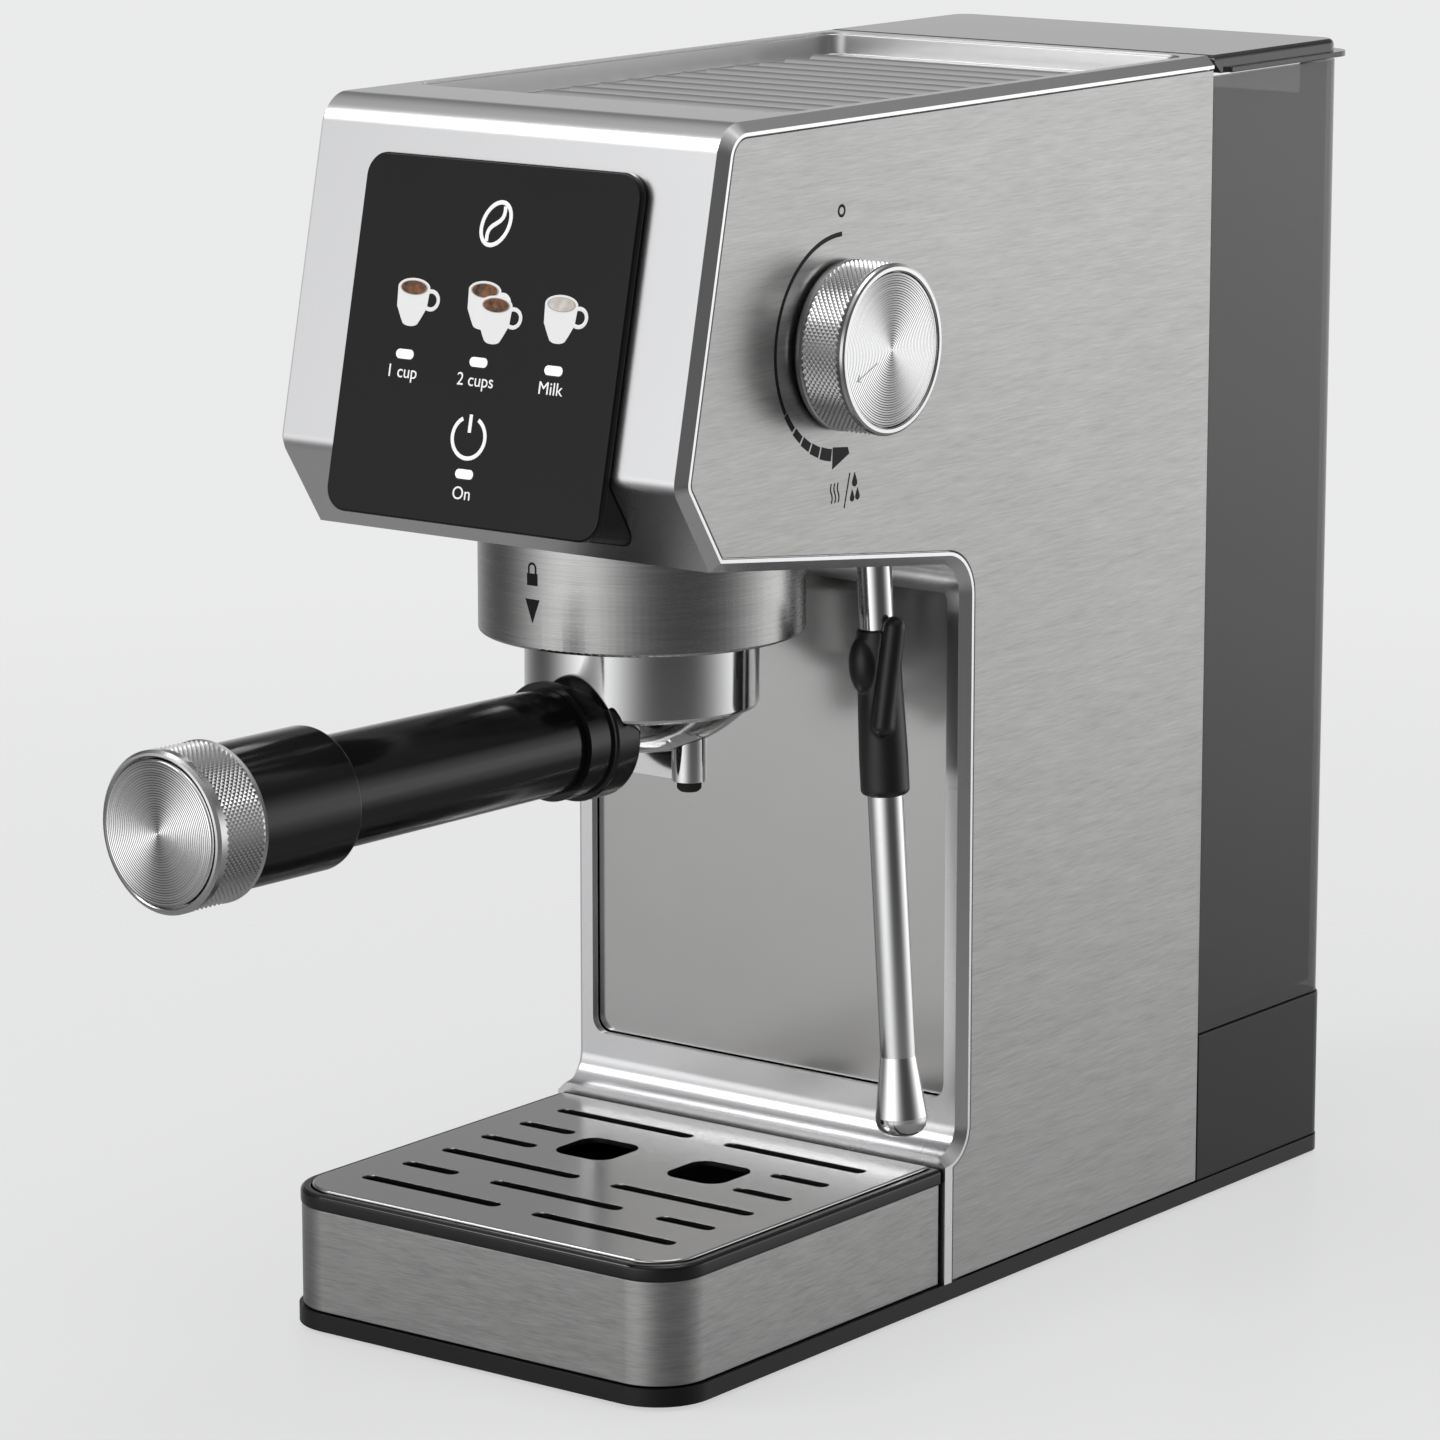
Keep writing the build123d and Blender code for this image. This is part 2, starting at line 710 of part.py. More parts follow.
with BuildPart() as copper_pipes:
    for run in pipe_runs:
        with BuildLine() as route:
            FilletPolyline(*run, radius=5.0)
        with BuildSketch(Plane(origin=route.line @ 0, z_dir=route.line % 0)):
            Circle(2.0)
        sweep(path=route.line)
save(copper_pipes, "copper_pipes")

# ---------------------------------------------------------------- portafilter
with BuildPart() as portafilter_cup:
    with BuildSketch(group_floor.offset(cup_bottom)):
        Circle(cup_r)
    extrude(amount=cup_top - cup_bottom)
    fillet(portafilter_cup.edges().group_by(Axis.Z)[0], radius=1.2)
    with BuildSketch(group_plane):
        with BuildLine():
            Line((0, dome_low), (0, cup_bottom + 4.0))
            Line((0, cup_bottom + 4.0), (cup_r - 2.0, cup_bottom + 4.0))
            Line((cup_r - 2.0, cup_bottom + 4.0), (cup_r - 2.0, cup_bottom))
            RadiusArc((cup_r - 2.0, cup_bottom), (0, dome_low), dome_r)
        make_face()
    revolve(axis=Axis((0, group_y, 0), (0, 0, 1)))
    for lug_angle in lug_angles:
        with BuildSketch(group_floor.offset(lug_low)):
            add(sector(lug_r, lug_angle, lug_span))
        extrude(amount=lug_high - lug_low)
    with BuildSketch(handle_plane.offset(20.0)):
        Circle(8.0)
    extrude(amount=collar_end - 20.0 - 3.0)
    with BuildSketch(group_floor.offset(cup_bottom + 3.5)):
        Circle(cup_r - 2.2)
    extrude(amount=cutter, mode=Mode.SUBTRACT)
    with BuildSketch(group_floor.offset(dome_low - 1.0)):
        Circle(3.0)
    extrude(amount=30.0, mode=Mode.SUBTRACT)
    with BuildSketch(handle_plane.offset(24.0)):
        Circle(5.2)
    extrude(amount=30.0, mode=Mode.SUBTRACT)
save(portafilter_cup, "portafilter_cup")

with BuildPart() as filter_basket:
    with BuildSketch(group_floor.offset(172.0)):
        Circle(basket_r)
    extrude(amount=cup_top - 172.0 + 0.9)
    with BuildSketch(group_floor.offset(cup_top)):
        Circle(cup_r - 0.3)
    extrude(amount=0.9)
    with BuildSketch(group_floor.offset(172.7)):
        Circle(basket_r - 0.6)
    extrude(amount=cutter, mode=Mode.SUBTRACT)
    with BuildSketch(group_floor.offset(171.0)):
        for hole_ring in (5.0, 10.0, 15.0, 20.0):
            with PolarLocations(hole_ring, int(hole_ring * 1.2)):
                Circle(0.7)
    extrude(amount=4.0, mode=Mode.SUBTRACT)
save(filter_basket, "filter_basket")

with BuildPart() as double_spout:
    with BuildSketch(group_plane.offset(-1.6)):
        with Locations((0, spout_low + 8.0)):
            Rectangle(2 * spout_x, 16.0)
    extrude(amount=3.2)
    with BuildSketch(group_floor.offset(spout_low)):
        with Locations((-spout_x, 0), (spout_x, 0)):
            Circle(spout_r)
    extrude(amount=16.0)
    with Locations((0, group_y, dome_low + dome_r)):
        Sphere(dome_r + 0.1, mode=Mode.SUBTRACT)
    with BuildSketch(group_floor.offset(spout_low - 1.0)):
        with Locations((-spout_x, 0), (spout_x, 0)):
            Circle(2.6)
    extrude(amount=30.0, mode=Mode.SUBTRACT)
save(double_spout, "double_spout")

with BuildPart() as spout_tips:
    with BuildSketch(group_floor.offset(spout_low)):
        with Locations((-spout_x, 0), (spout_x, 0)):
            Circle(3.1)
    extrude(amount=-2.8)
    chamfer(spout_tips.edges().group_by(Axis.Z)[0], length=0.8)
    with BuildSketch(group_floor.offset(spout_low)):
        with Locations((-spout_x, 0), (spout_x, 0)):
            Circle(1.8)
    extrude(amount=-10.0, mode=Mode.SUBTRACT)
save(spout_tips, "spout_tips")

with BuildPart() as handle_stud:
    with BuildSketch(handle_plane.offset(26.0)):
        Circle(5.0)
    extrude(amount=84.0)
save(handle_stud, "handle_stud")

with BuildPart() as handle_collar:
    with BuildSketch(handle_plane.offset(19.0)):
        Circle(16.4)
    extrude(amount=9.0)
    with BuildSketch(handle_plane.offset(28.0)):
        Circle(15.0)
    extrude(amount=collar_end - 28.0)
    fillet(handle_collar.edges().filter_by(GeomType.CIRCLE).sort_by(SortBy.RADIUS)[-2:], radius=1.0)
    with BuildSketch(handle_plane.offset(10.0)):
        Circle(8.1)
    extrude(amount=collar_end - 10.0 - 3.0 + 0.1, mode=Mode.SUBTRACT)
    with BuildSketch(handle_plane.offset(10.0)):
        Circle(5.1)
    extrude(amount=60.0, mode=Mode.SUBTRACT)
    with Locations((0, group_y, cup_bottom + 50.0)):
        Cylinder(cup_r + 0.1, 100.1, mode=Mode.SUBTRACT)
    with Locations((0, group_y, dome_low + dome_r)):
        Sphere(dome_r + 0.1, mode=Mode.SUBTRACT)
save(handle_collar, "handle_collar")

with BuildPart() as handle_grip:
    with BuildSketch(handle_plane.offset(collar_end)):
        Circle(grip_r - 0.3)
    with BuildSketch(handle_plane.offset(sleeve_start)):
        Circle(grip_r + 0.2)
    loft()
    with BuildSketch(handle_plane.offset(collar_end)):
        Circle(5.2)
    extrude(amount=75.0, mode=Mode.SUBTRACT)
save(handle_grip, "handle_grip")

with BuildPart() as handle_sleeve:
    with BuildSketch(handle_plane.offset(sleeve_start)):
        Circle(sleeve_r)
    extrude(amount=ring_start - sleeve_start)
    chamfer(handle_sleeve.edges().sort_by(Axis.Y)[-1], length=0.6)
save(handle_sleeve, "handle_sleeve")

with BuildPart() as handle_knurled_ring:
    with BuildSketch(handle_plane.offset(ring_start)):
        Circle(knurl_r)
    extrude(amount=handle_end - ring_start - 0.6)
    chamfer(handle_knurled_ring.edges().filter_by(GeomType.CIRCLE), length=0.5)
    with BuildSketch(handle_plane.offset(cap_start)):
        Circle(17.9)
    extrude(amount=20.0, mode=Mode.SUBTRACT)
save(handle_knurled_ring, "handle_knurled_ring")

with BuildPart() as handle_cap:
    with BuildSketch(handle_plane.offset(cap_start)):
        Circle(17.4)
    extrude(amount=handle_end - cap_start)
    chamfer(handle_cap.edges().filter_by(GeomType.CIRCLE).sort_by(Axis.Y)[0], length=0.4)
save(handle_cap, "handle_cap")

# ---------------------------------------------------------------- steam knob
knob_plane = Plane(origin=(half_w, knob_y, knob_z), x_dir=(0, 1, 0), z_dir=(1, 0, 0))

with BuildPart() as knob_body:
    with BuildSketch(knob_plane.offset(1.0)):
        Circle(knob_r)
    extrude(amount=knob_face_x - half_w - 1.0)
    chamfer(knob_body.edges(), length=0.6)
    with BuildSketch(knob_plane.offset(knob_face_x - half_w - 1.6)):
        Circle(18.7)
    extrude(amount=10.0, mode=Mode.SUBTRACT)
    with BuildSketch(knob_plane):
        Circle(10.0)
    extrude(amount=11.0, mode=Mode.SUBTRACT)
save(knob_body, "knob_body")

with BuildPart() as knob_face:
    with BuildSketch(knob_plane.offset(knob_face_x - half_w - 1.6)):
        Circle(18.6)
    extrude(amount=1.2)
save(knob_face, "knob_face")

with BuildPart() as knob_hub:
    with BuildSketch(knob_plane.offset(1.4)):
        Circle(9.9)
        Circle(spindle_r + 0.04, mode=Mode.SUBTRACT)
    extrude(amount=9.5)
save(knob_hub, "knob_hub")

with BuildPart() as valve_spindle:
    with BuildSketch(knob_plane.offset(45.0 - half_w)):
        Circle(spindle_r)
    extrude(amount=half_w - 45.0 + 10.6)
save(valve_spindle, "valve_spindle")

# ---------------------------------------------------------------- steam wand
ball_r = 6.0
socket_r = 11.0
socket_low = 198.2
swivel_r = 9.0
swivel_low = 194.4
swivel_t = 13.8
tilt_slot = 2 * wand_tube_r + 1.8
wand_floor = Plane(origin=(wand_x, wand_y, 0))

with BuildPart() as wand_socket:
    with BuildSketch(wand_floor.offset(socket_low)):
        Circle(socket_r)
    extrude(amount=12.0)
    with BuildSketch(wand_floor.offset(socket_low)):
        Circle(swivel_r + gap)
    extrude(amount=swivel_low + swivel_t - socket_low + gap + 0.1, mode=Mode.SUBTRACT)
save(wand_socket, "wand_socket")

with BuildPart() as wand_swivel:
    with BuildSketch(wand_floor.offset(swivel_low)):
        Circle(swivel_r)
    extrude(amount=swivel_t)
    with Locations((wand_x, wand_y, wand_z)):
        Sphere(ball_r + gap, mode=Mode.SUBTRACT)
    # room for the tube, and the slot that it tilts out through
    with BuildSketch(wand_floor.offset(swivel_low - 4.4)):
        Circle(tilt_slot / 2)
        with Locations((swivel_r + 1.0, 0)):
            Rectangle(2 * swivel_r + 2.0, tilt_slot)
    extrude(amount=wand_z - swivel_low + 5.4, mode=Mode.SUBTRACT)
save(wand_swivel, "wand_swivel")

grip_start = 19.0
grip_end = 62.8
wand_grip_r = 6.2
neck_end = 10.0                     # the ball's neck and the tube meet this far down the wand
steam_way_r = 2.0
with BuildPart() as wand_ball:
    with Locations((wand_x, wand_y, wand_z)):
        Sphere(ball_r)
    with BuildSketch(wand_plane):
        Circle(wand_tube_r)
    extrude(amount=neck_end)
    with BuildSketch(wand_plane):
        Circle(steam_way_r)
    extrude(amount=cutter, mode=Mode.SUBTRACT)
save(wand_ball, "wand_ball")

with BuildPart() as wand_tube:
    with BuildSketch(wand_plane.offset(neck_end)):
        Circle(wand_tube_r)
        Circle(steam_way_r, mode=Mode.SUBTRACT)
    extrude(amount=grip_end - 6.0 - neck_end)
save(wand_tube, "wand_upper_tube")

tab_out = 8.6                       # how far the thumb tab's middle stands from the wand's axis
with BuildPart() as wand_grip:
    with BuildSketch(wand_plane.offset(grip_start + 3.0)):
        Circle(wand_grip_r)
    extrude(amount=grip_end - grip_start - 3.0)
    fillet(wand_grip.edges().group_by(Axis.Z)[-1], radius=1.0)
    with BuildSketch(wand_plane.offset(grip_start + 14.0)):
        with Locations((-3.0, 0)):
            Ellipse(8.4, 3.4)
    extrude(amount=16.0, taper=8)
    with BuildSketch(wand_plane.offset(grip_start + 2.0)):
        with Locations((-tab_out, 0)):
            RectangleRounded(5.0, 5.6, 2.0)
    extrude(amount=16.0)
    with BuildSketch(wand_plane.offset(grip_start)):
        Circle(wand_tube_r + 0.1)
    extrude(amount=grip_end, mode=Mode.SUBTRACT)
save(wand_grip, "wand_grip")

flare_start = 130.0
with BuildPart() as froth_sleeve:
    with BuildSketch(wand_plane.offset(grip_end + 0.2)):
        Circle(4.55)
    extrude(amount=flare_start - grip_end)
    with BuildSketch(wand_plane.offset(flare_start)):
        Circle(4.55)
    with BuildSketch(wand_plane.offset(wand_length - 5.0)):
        Circle(6.6)
    loft()
    with BuildSketch(wand_plane.offset(wand_length - 5.0)):
        Circle(6.6)
    extrude(amount=5.0)
    fillet(froth_sleeve.edges().filter_by(GeomType.CIRCLE).sort_by(Axis.Z)[0], radius=4.0)
    with BuildSketch(wand_plane):
        Circle(3.3)
    extrude(amount=wand_length - 4.0, mode=Mode.SUBTRACT)
    with BuildSketch(wand_plane):
        Circle(1.0)
    extrude(amount=cutter, mode=Mode.SUBTRACT)
save(froth_sleeve, "froth_sleeve")

with BuildPart() as steam_nozzle:
    with BuildSketch(wand_plane.offset(grip_end - 5.8)):
        Circle(3.0)
        Circle(1.4, mode=Mode.SUBTRACT)
    extrude(amount=wand_length - 18.0 - grip_end)
save(steam_nozzle, "steam_nozzle")

# ---------------------------------------------------------------- drip tray and its grille
def tray_footprint(inset, back, corner):
    """Plan of the tray: square at the back, rounded at the front corners."""
    front = tray_front + inset
    with Locations((0, (front + back) / 2)):
        Rectangle(tray_w - 2 * inset, back - front)
    fillet(vertices().group_by(Axis.Y)[0], radius=corner)


with BuildPart() as tray_skirt:
    with BuildSketch(Plane.XY.offset(tray_bottom)):
        tray_footprint(0.0, tray_back - 0.6, tray_round)
    extrude(amount=skirt_top - tray_bottom)
    with BuildSketch(Plane.XY.offset(tray_bottom)):
        tray_footprint(1.0, tray_back + 20.0, tray_round - 1.0)
    extrude(amount=cutter, mode=Mode.SUBTRACT)
save(tray_skirt, "tray_skirt")

with BuildPart() as tray_pan:
    with BuildSketch(Plane.XY.offset(tray_bottom)):
        tray_footprint(1.1, tray_back, tray_round - 1.1)
    extrude(amount=skirt_top - tray_bottom)
    with BuildSketch(Plane.XY.offset(tray_bottom + 2.0)):
        tray_footprint(3.3, tray_back - 2.2, tray_round - 3.3)
    extrude(amount=cutter, mode=Mode.SUBTRACT)
save(tray_pan, "tray_pan")

with BuildPart() as tray_rim:
    with BuildSketch(Plane.XY.offset(skirt_top)):
        tray_footprint(-0.3, tray_back, tray_round + 0.3)
    extrude(amount=rim_top - skirt_top)
    chamfer(tray_rim.faces().sort_by(Axis.Z)[-1].edges().sort_by(Axis.Y)[:-1], length=0.7)
    with BuildSketch(Plane.XY.offset(skirt_top)):
        tray_footprint(5.6, tray_back - 4.5, tray_round - 5.6)
    extrude(amount=cutter, mode=Mode.SUBTRACT)
    with BuildSketch(Plane.XY.offset(skirt_top + 1.2)):
        tray_footprint(2.3, tray_back - 1.0, tray_round - 2.3)
    extrude(amount=cutter, mode=Mode.SUBTRACT)
save(tray_rim, "tray_rim")

grille_inset = (tray_w - grille_w) / 2
grille_back = tray_back - 1.4
long_slot = 44.2
short_slot = 17.6
middle_slot = 41.6
drain_w = 18.0                      # the two square holes under the spouts
long_x = 27.5
short_x = 40.8
first_row = -130.0
with BuildPart() as drip_grille:
    with BuildSketch(Plane.XY.offset(skirt_top + 1.5)):
        tray_footprint(grille_inset, grille_back, tray_round - grille_inset)
    extrude(amount=grille_top - skirt_top - 1.5)
    fillet(drip_grille.faces().sort_by(Axis.Z)[-1].edges(), radius=0.6)
    with BuildSketch(Plane.XY.offset(skirt_top + 1.4)):
        tray_footprint(grille_inset + 1.1, grille_back - 1.1, tray_round - grille_inset - 1.1)
    extrude(amount=grille_top - skirt_top - 2.8, mode=Mode.SUBTRACT)
    with BuildSketch(Plane.XY.offset(skirt_top)):
        for row in range(6):
            row_y = first_row + row * slot_pitch
            length, slot_x = (long_slot, long_x) if row in (0, 2, 5) else (short_slot, short_x)
            with Locations((-slot_x, row_y), (slot_x, row_y)):
                SlotOverall(length, slot_w)
        with Locations((0, first_row + slot_pitch)):
            SlotOverall(middle_slot, slot_w)
        hole_row = first_row + 3.5 * slot_pitch
        with Locations((-drain_w, hole_row), (drain_w, hole_row)):
            RectangleRounded(drain_w, drain_w, 5.0)
    extrude(amount=cutter, mode=Mode.SUBTRACT)
save(drip_grille, "drip_grille")

# ---------------------------------------------------------------- water tank, its lid and its valve
tank_mid = (tank_front + tank_back) / 2
hinge_y = 88.2
hinge_z = 308.0
ear_x = 52.0
ear_w = 4.0
valve_r = 9.0

with BuildPart() as tank_shell:
    with BuildSketch(Plane.XY.offset(tank_bottom)):
        with Locations((0, tank_mid)):
            Rectangle(tank_w, tank_back - tank_front)
        fillet(vertices().group_by(Axis.Y)[-1], radius=6.0)
    extrude(amount=tank_top - tank_bottom)
    with BuildSketch(Plane.XY.offset(tank_bottom + tank_wall + 1.0)):
        with Locations((0, tank_mid)):
            Rectangle(tank_w - 2 * tank_wall, tank_back - tank_front - 2 * tank_wall)
        fillet(vertices().group_by(Axis.Y)[-1], radius=4.0)
    extrude(amount=cutter, mode=Mode.SUBTRACT)
    ear_spots = [(x, tank_front + 3.4, tank_top - 4.0) for x in (-ear_x, ear_x)]
    with Locations(*ear_spots):
        Box(ear_w, 4.4, 8.0)
    with BuildSketch(Plane.YZ):
        with Locations((hinge_y, (hinge_z + tank_top) / 2 - 1.0)):
            Rectangle(2.8, hinge_z - tank_top + 2.0)
        with Locations((hinge_y, hinge_z)):
            Circle(1.4)
    extrude(amount=ear_x + ear_w / 2, both=True)
    with Locations((0, tank_mid, hinge_z)):
        Box(2 * ear_x - ear_w, cutter, 7.2 + 20.0, mode=Mode.SUBTRACT)
    with BuildSketch(Plane.YZ):
        with Locations((hinge_y, hinge_z)):
            Circle(0.86)
    extrude(amount=cutter, both=True, mode=Mode.SUBTRACT)
    with BuildSketch(Plane.XY.offset(tank_bottom)):
        with Locations((0, valve_y)):
            Circle(valve_r)
    extrude(amount=10.0, mode=Mode.SUBTRACT)
save(tank_shell, "tank_shell")

cage_floor = tank_bottom + 0.6      # the poppet's seat, just inside the tank
cage_high = tank_bottom + 16.2
cage_wall = 1.6
poppet_r = 6.4
poppet_t = 1.6
stem_r = 1.6
inlet_r = 4.4
spring_r = 3.6

with BuildPart() as valve_cage:
    with BuildSketch(Plane.XY.offset(tank_bottom - 5.0)):
        with Locations((0, valve_y)):
            Circle(valve_r - 0.1)
    extrude(amount=cage_high - tank_bottom + 5.0)
    with BuildSketch(Plane.XY.offset(tank_bottom + tank_wall + 1.0)):
        with Locations((0, valve_y)):
            Circle(valve_r + 3.0)
    extrude(amount=1.6)
    with BuildSketch(Plane.XY.offset(cage_floor)):
        with Locations((0, valve_y)):
            Circle(valve_r - cage_wall)
    extrude(amount=cage_high - cage_wall - cage_floor, mode=Mode.SUBTRACT)
    with BuildSketch(Plane.XY.offset(tank_bottom - 6.0)):
        with Locations((0, valve_y)):
            Circle(inlet_r)
    extrude(amount=10.0, mode=Mode.SUBTRACT)
    with BuildSketch(Plane.XZ.offset(-valve_y)):
        with Locations((0, tank_bottom + 10.0)):
            Rectangle(40.0, 6.0)
    extrude(amount=3.0, both=True, mode=Mode.SUBTRACT)
    with BuildSketch(Plane.XY.offset(cage_high - 3.0)):
        with Locations((0, valve_y)):
            Circle(stem_r + gap)
    extrude(amount=10.0, mode=Mode.SUBTRACT)
save(valve_cage, "tank_valve_cage")

poppet_low = cage_floor + gap
with BuildPart() as valve_poppet:
    with BuildSketch(Plane.XY.offset(poppet_low)):
        with Locations((0, valve_y)):
            Circle(poppet_r)
    extrude(amount=poppet_t)
    with BuildSketch(Plane.XY.offset(poppet_low + poppet_t)):
        with Locations((0, valve_y)):
            Circle(stem_r)
    extrude(amount=cage_high - poppet_low - poppet_t + 0.4)
save(valve_poppet, "tank_valve_poppet")

spring_low = poppet_low + poppet_t + 0.1
spring_high = cage_high - cage_wall - 0.1
with BuildPart() as valve_spring:
    with BuildSketch(Plane.XY.offset(spring_low)):
        with Locations((0, valve_y)):
            Circle(spring_r)
            Circle(spring_r - 1.0, mode=Mode.SUBTRACT)
    extrude(amount=spring_high - spring_low)
save(valve_spring, "tank_valve_spring")

lid_w = 125.0
lid_back = 148.4
lip_w = 128.0
lip_back = 153.4
lip_t = 1.4
with BuildPart() as tank_lid:
    with BuildSketch(Plane.XY.offset(lid_bottom)):
        with Locations((0, (tank_front + lid_back) / 2)):
            Rectangle(lid_w, lid_back - tank_front)
        fillet(vertices().group_by(Axis.Y)[-1], radius=6.0)
    extrude(amount=height - lid_bottom)
    fillet(tank_lid.faces().sort_by(Axis.Z)[-1].edges(), radius=1.6)
    with BuildSketch(Plane.XY.offset(lid_bottom)):
        with Locations((0, (hinge_y + 3.0 + lip_back) / 2)):
            Rectangle(lip_w, lip_back - hinge_y - 3.0)
        fillet(vertices().group_by(Axis.Y)[-1], radius=8.0)
    extrude(amount=lip_t)
    # room for the lid's lower front edge to swing past the tank
    with BuildSketch(Plane.YZ):
        with BuildLine():
            Polyline((tank_front - 1, lid_bottom - 1), (hinge_y, lid_bottom - 1), (hinge_y, lid_bottom),
                     (tank_front, hinge_z), (tank_front - 1, hinge_z), close=True)
        make_face()
    extrude(amount=cutter, both=True, mode=Mode.SUBTRACT)
    # pockets for the tank's two ears, with a pin left across each
    for ear_side in (-1, 1):
        with BuildSketch(Plane.YZ.offset(ear_side * ear_x)):
            with Locations(((tank_front - 1 + hinge_y + 2.2) / 2, (lid_bottom - 1 + hinge_z + 1.7) / 2)):
                Rectangle(hinge_y + 2.2 - tank_front + 1, hinge_z + 1.7 - lid_bottom + 1)
        extrude(amount=ear_w / 2 + gap, both=True, mode=Mode.SUBTRACT)
    with BuildSketch(Plane.YZ):
        with Locations((hinge_y, hinge_z)):
            Circle(0.8)
    extrude(amount=ear_x + ear_w, both=True)
save(tank_lid, "tank_lid")
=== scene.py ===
"""Looks of a slim espresso machine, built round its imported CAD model.

Metres, +Z up, the front faces -Y.
"""

import json
from math import atan2, cos, hypot, pi, radians, sin

import bmesh
import bpy
from mathutils import Matrix, Vector


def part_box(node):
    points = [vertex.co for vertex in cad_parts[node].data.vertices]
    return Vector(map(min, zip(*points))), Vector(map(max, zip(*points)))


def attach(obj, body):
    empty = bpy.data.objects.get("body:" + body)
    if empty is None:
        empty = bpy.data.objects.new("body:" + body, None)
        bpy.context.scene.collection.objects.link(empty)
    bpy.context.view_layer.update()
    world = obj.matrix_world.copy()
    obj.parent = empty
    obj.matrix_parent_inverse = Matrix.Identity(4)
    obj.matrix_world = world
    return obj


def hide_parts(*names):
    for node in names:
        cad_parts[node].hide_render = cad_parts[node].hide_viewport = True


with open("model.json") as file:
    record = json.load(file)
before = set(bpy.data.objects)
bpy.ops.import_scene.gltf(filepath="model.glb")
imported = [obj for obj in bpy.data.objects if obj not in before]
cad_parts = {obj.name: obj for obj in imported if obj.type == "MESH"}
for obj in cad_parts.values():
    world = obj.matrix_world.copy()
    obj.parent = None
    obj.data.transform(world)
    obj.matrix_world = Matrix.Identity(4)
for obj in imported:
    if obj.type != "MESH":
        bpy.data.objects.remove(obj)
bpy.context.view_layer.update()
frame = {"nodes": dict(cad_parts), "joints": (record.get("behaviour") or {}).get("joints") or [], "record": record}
nodes = frame["nodes"]

MM = 0.001
PRINT = 0.05 * MM                   # how far a printed mark stands off its surface
DIAMONDS = 76                       # round each knurled band
DISC_STEPS = 160                    # round each spun disc


# ---------------------------------------------------------------- shader maths
class Value:
    """A number or a vector that varies over a surface. Arithmetic on numbers adds Math nodes."""

    def __init__(self, nodes, socket):
        self.nodes = nodes
        self.socket = socket

    def maths(self, operation, *operands):
        return self.nodes.node("ShaderNodeMath", {"operation": operation}, dict(enumerate(operands)))

    def __add__(self, other):
        return self.maths("ADD", self, other)

    def __radd__(self, other):
        return self.maths("ADD", other, self)

    def __sub__(self, other):
        return self.maths("SUBTRACT", self, other)

    def __rsub__(self, other):
        return self.maths("SUBTRACT", other, self)

    def __mul__(self, other):
        return self.maths("MULTIPLY", self, other)

    def __rmul__(self, other):
        return self.maths("MULTIPLY", other, self)

    def __truediv__(self, other):
        return self.maths("DIVIDE", self, other)

    def __pow__(self, other):
        return self.maths("POWER", self, other)

    def clamp(self, low=0.0, high=1.0):
        return self.maths("MINIMUM", self.maths("MAXIMUM", self, low), high)


class Nodes:
    """A node tree that is being written."""

    def __init__(self, tree):
        self.tree = tree

    def feed(self, socket, value):
        if isinstance(value, Value):
            self.tree.links.new(value.socket, socket)
        else:
            socket.default_value = value

    def node(self, kind, settings=None, sockets=None, output=0):
        """Adds a node: its settings first, then its sockets. Gives one of its outputs."""
        made = self.tree.nodes.new(kind)
        for name, value in (settings or {}).items():
            if name == "stops":
                ramp = made.color_ramp.elements
                for index, (position, colour) in enumerate(value):
                    stop = ramp[index] if index < 2 else ramp.new(position)
                    stop.position = position
                    stop.color = (*colour, 1.0)
            else:
                setattr(made, name, value)
        for key, value in (sockets or {}).items():
            self.feed(made.inputs[key], value)
        return Value(self, made.outputs[output])


class Finish(Nodes):
    """One material, and the shader that takes what varies over the surface."""

    def __init__(self, name, colour, roughness, metallic=0.0, **constants):
        self.material = bpy.data.materials.new(name)
        self.material.use_nodes = True
        super().__init__(self.material.node_tree)
        self.shader = self.tree.nodes["Principled BSDF"]
        self.set(Base_Color=(*colour, 1.0), Roughness=roughness, Metallic=metallic, **constants)

    def set(self, **sockets):
        """Constants or varying values for the shader's sockets, an underscore standing for a space."""
        for name, value in sockets.items():
            self.feed(self.shader.inputs[name.replace("_", " ")], value)

    def place(self, centre=(0, 0, 0), turn=(0, 0, 0), stretch=(1, 1, 1)):
        """Object coordinates from a centre, turned, then stretched. A stretch makes a pattern finer."""
        point = self.node("ShaderNodeTexCoord", output="Object")
        local = self.node(
            "ShaderNodeMapping",
            {"vector_type": "TEXTURE"},
            {"Vector": point, "Location": centre, "Rotation": turn},
        )
        return self.node("ShaderNodeMapping", {}, {"Vector": local, "Scale": stretch})

    def noise(self, where, scale=1.0, detail=2.0, roughness=0.5):
        sockets = {"Vector": where, "Scale": scale, "Detail": detail, "Roughness": roughness}
        return self.node("ShaderNodeTexNoise", {}, sockets)

    def mix(self, factor, first, second):
        """Colour between two, by a varying factor."""
        sockets = {0: factor, 6: (*first, 1.0), 7: (*second, 1.0)}
        return self.node("ShaderNodeMix", {"data_type": "RGBA"}, sockets, output=2)

    def bump(self, height, distance, strength=1.0):
        sockets = {"Height": height, "Distance": distance, "Strength": strength}
        self.set(Normal=self.node("ShaderNodeBump", {}, sockets))


# ---------------------------------------------------------------- finishes
def shaded(colour, factor):
    """A colour made darker or lighter."""
    return tuple(min(1.0, channel * factor) for channel in colour)


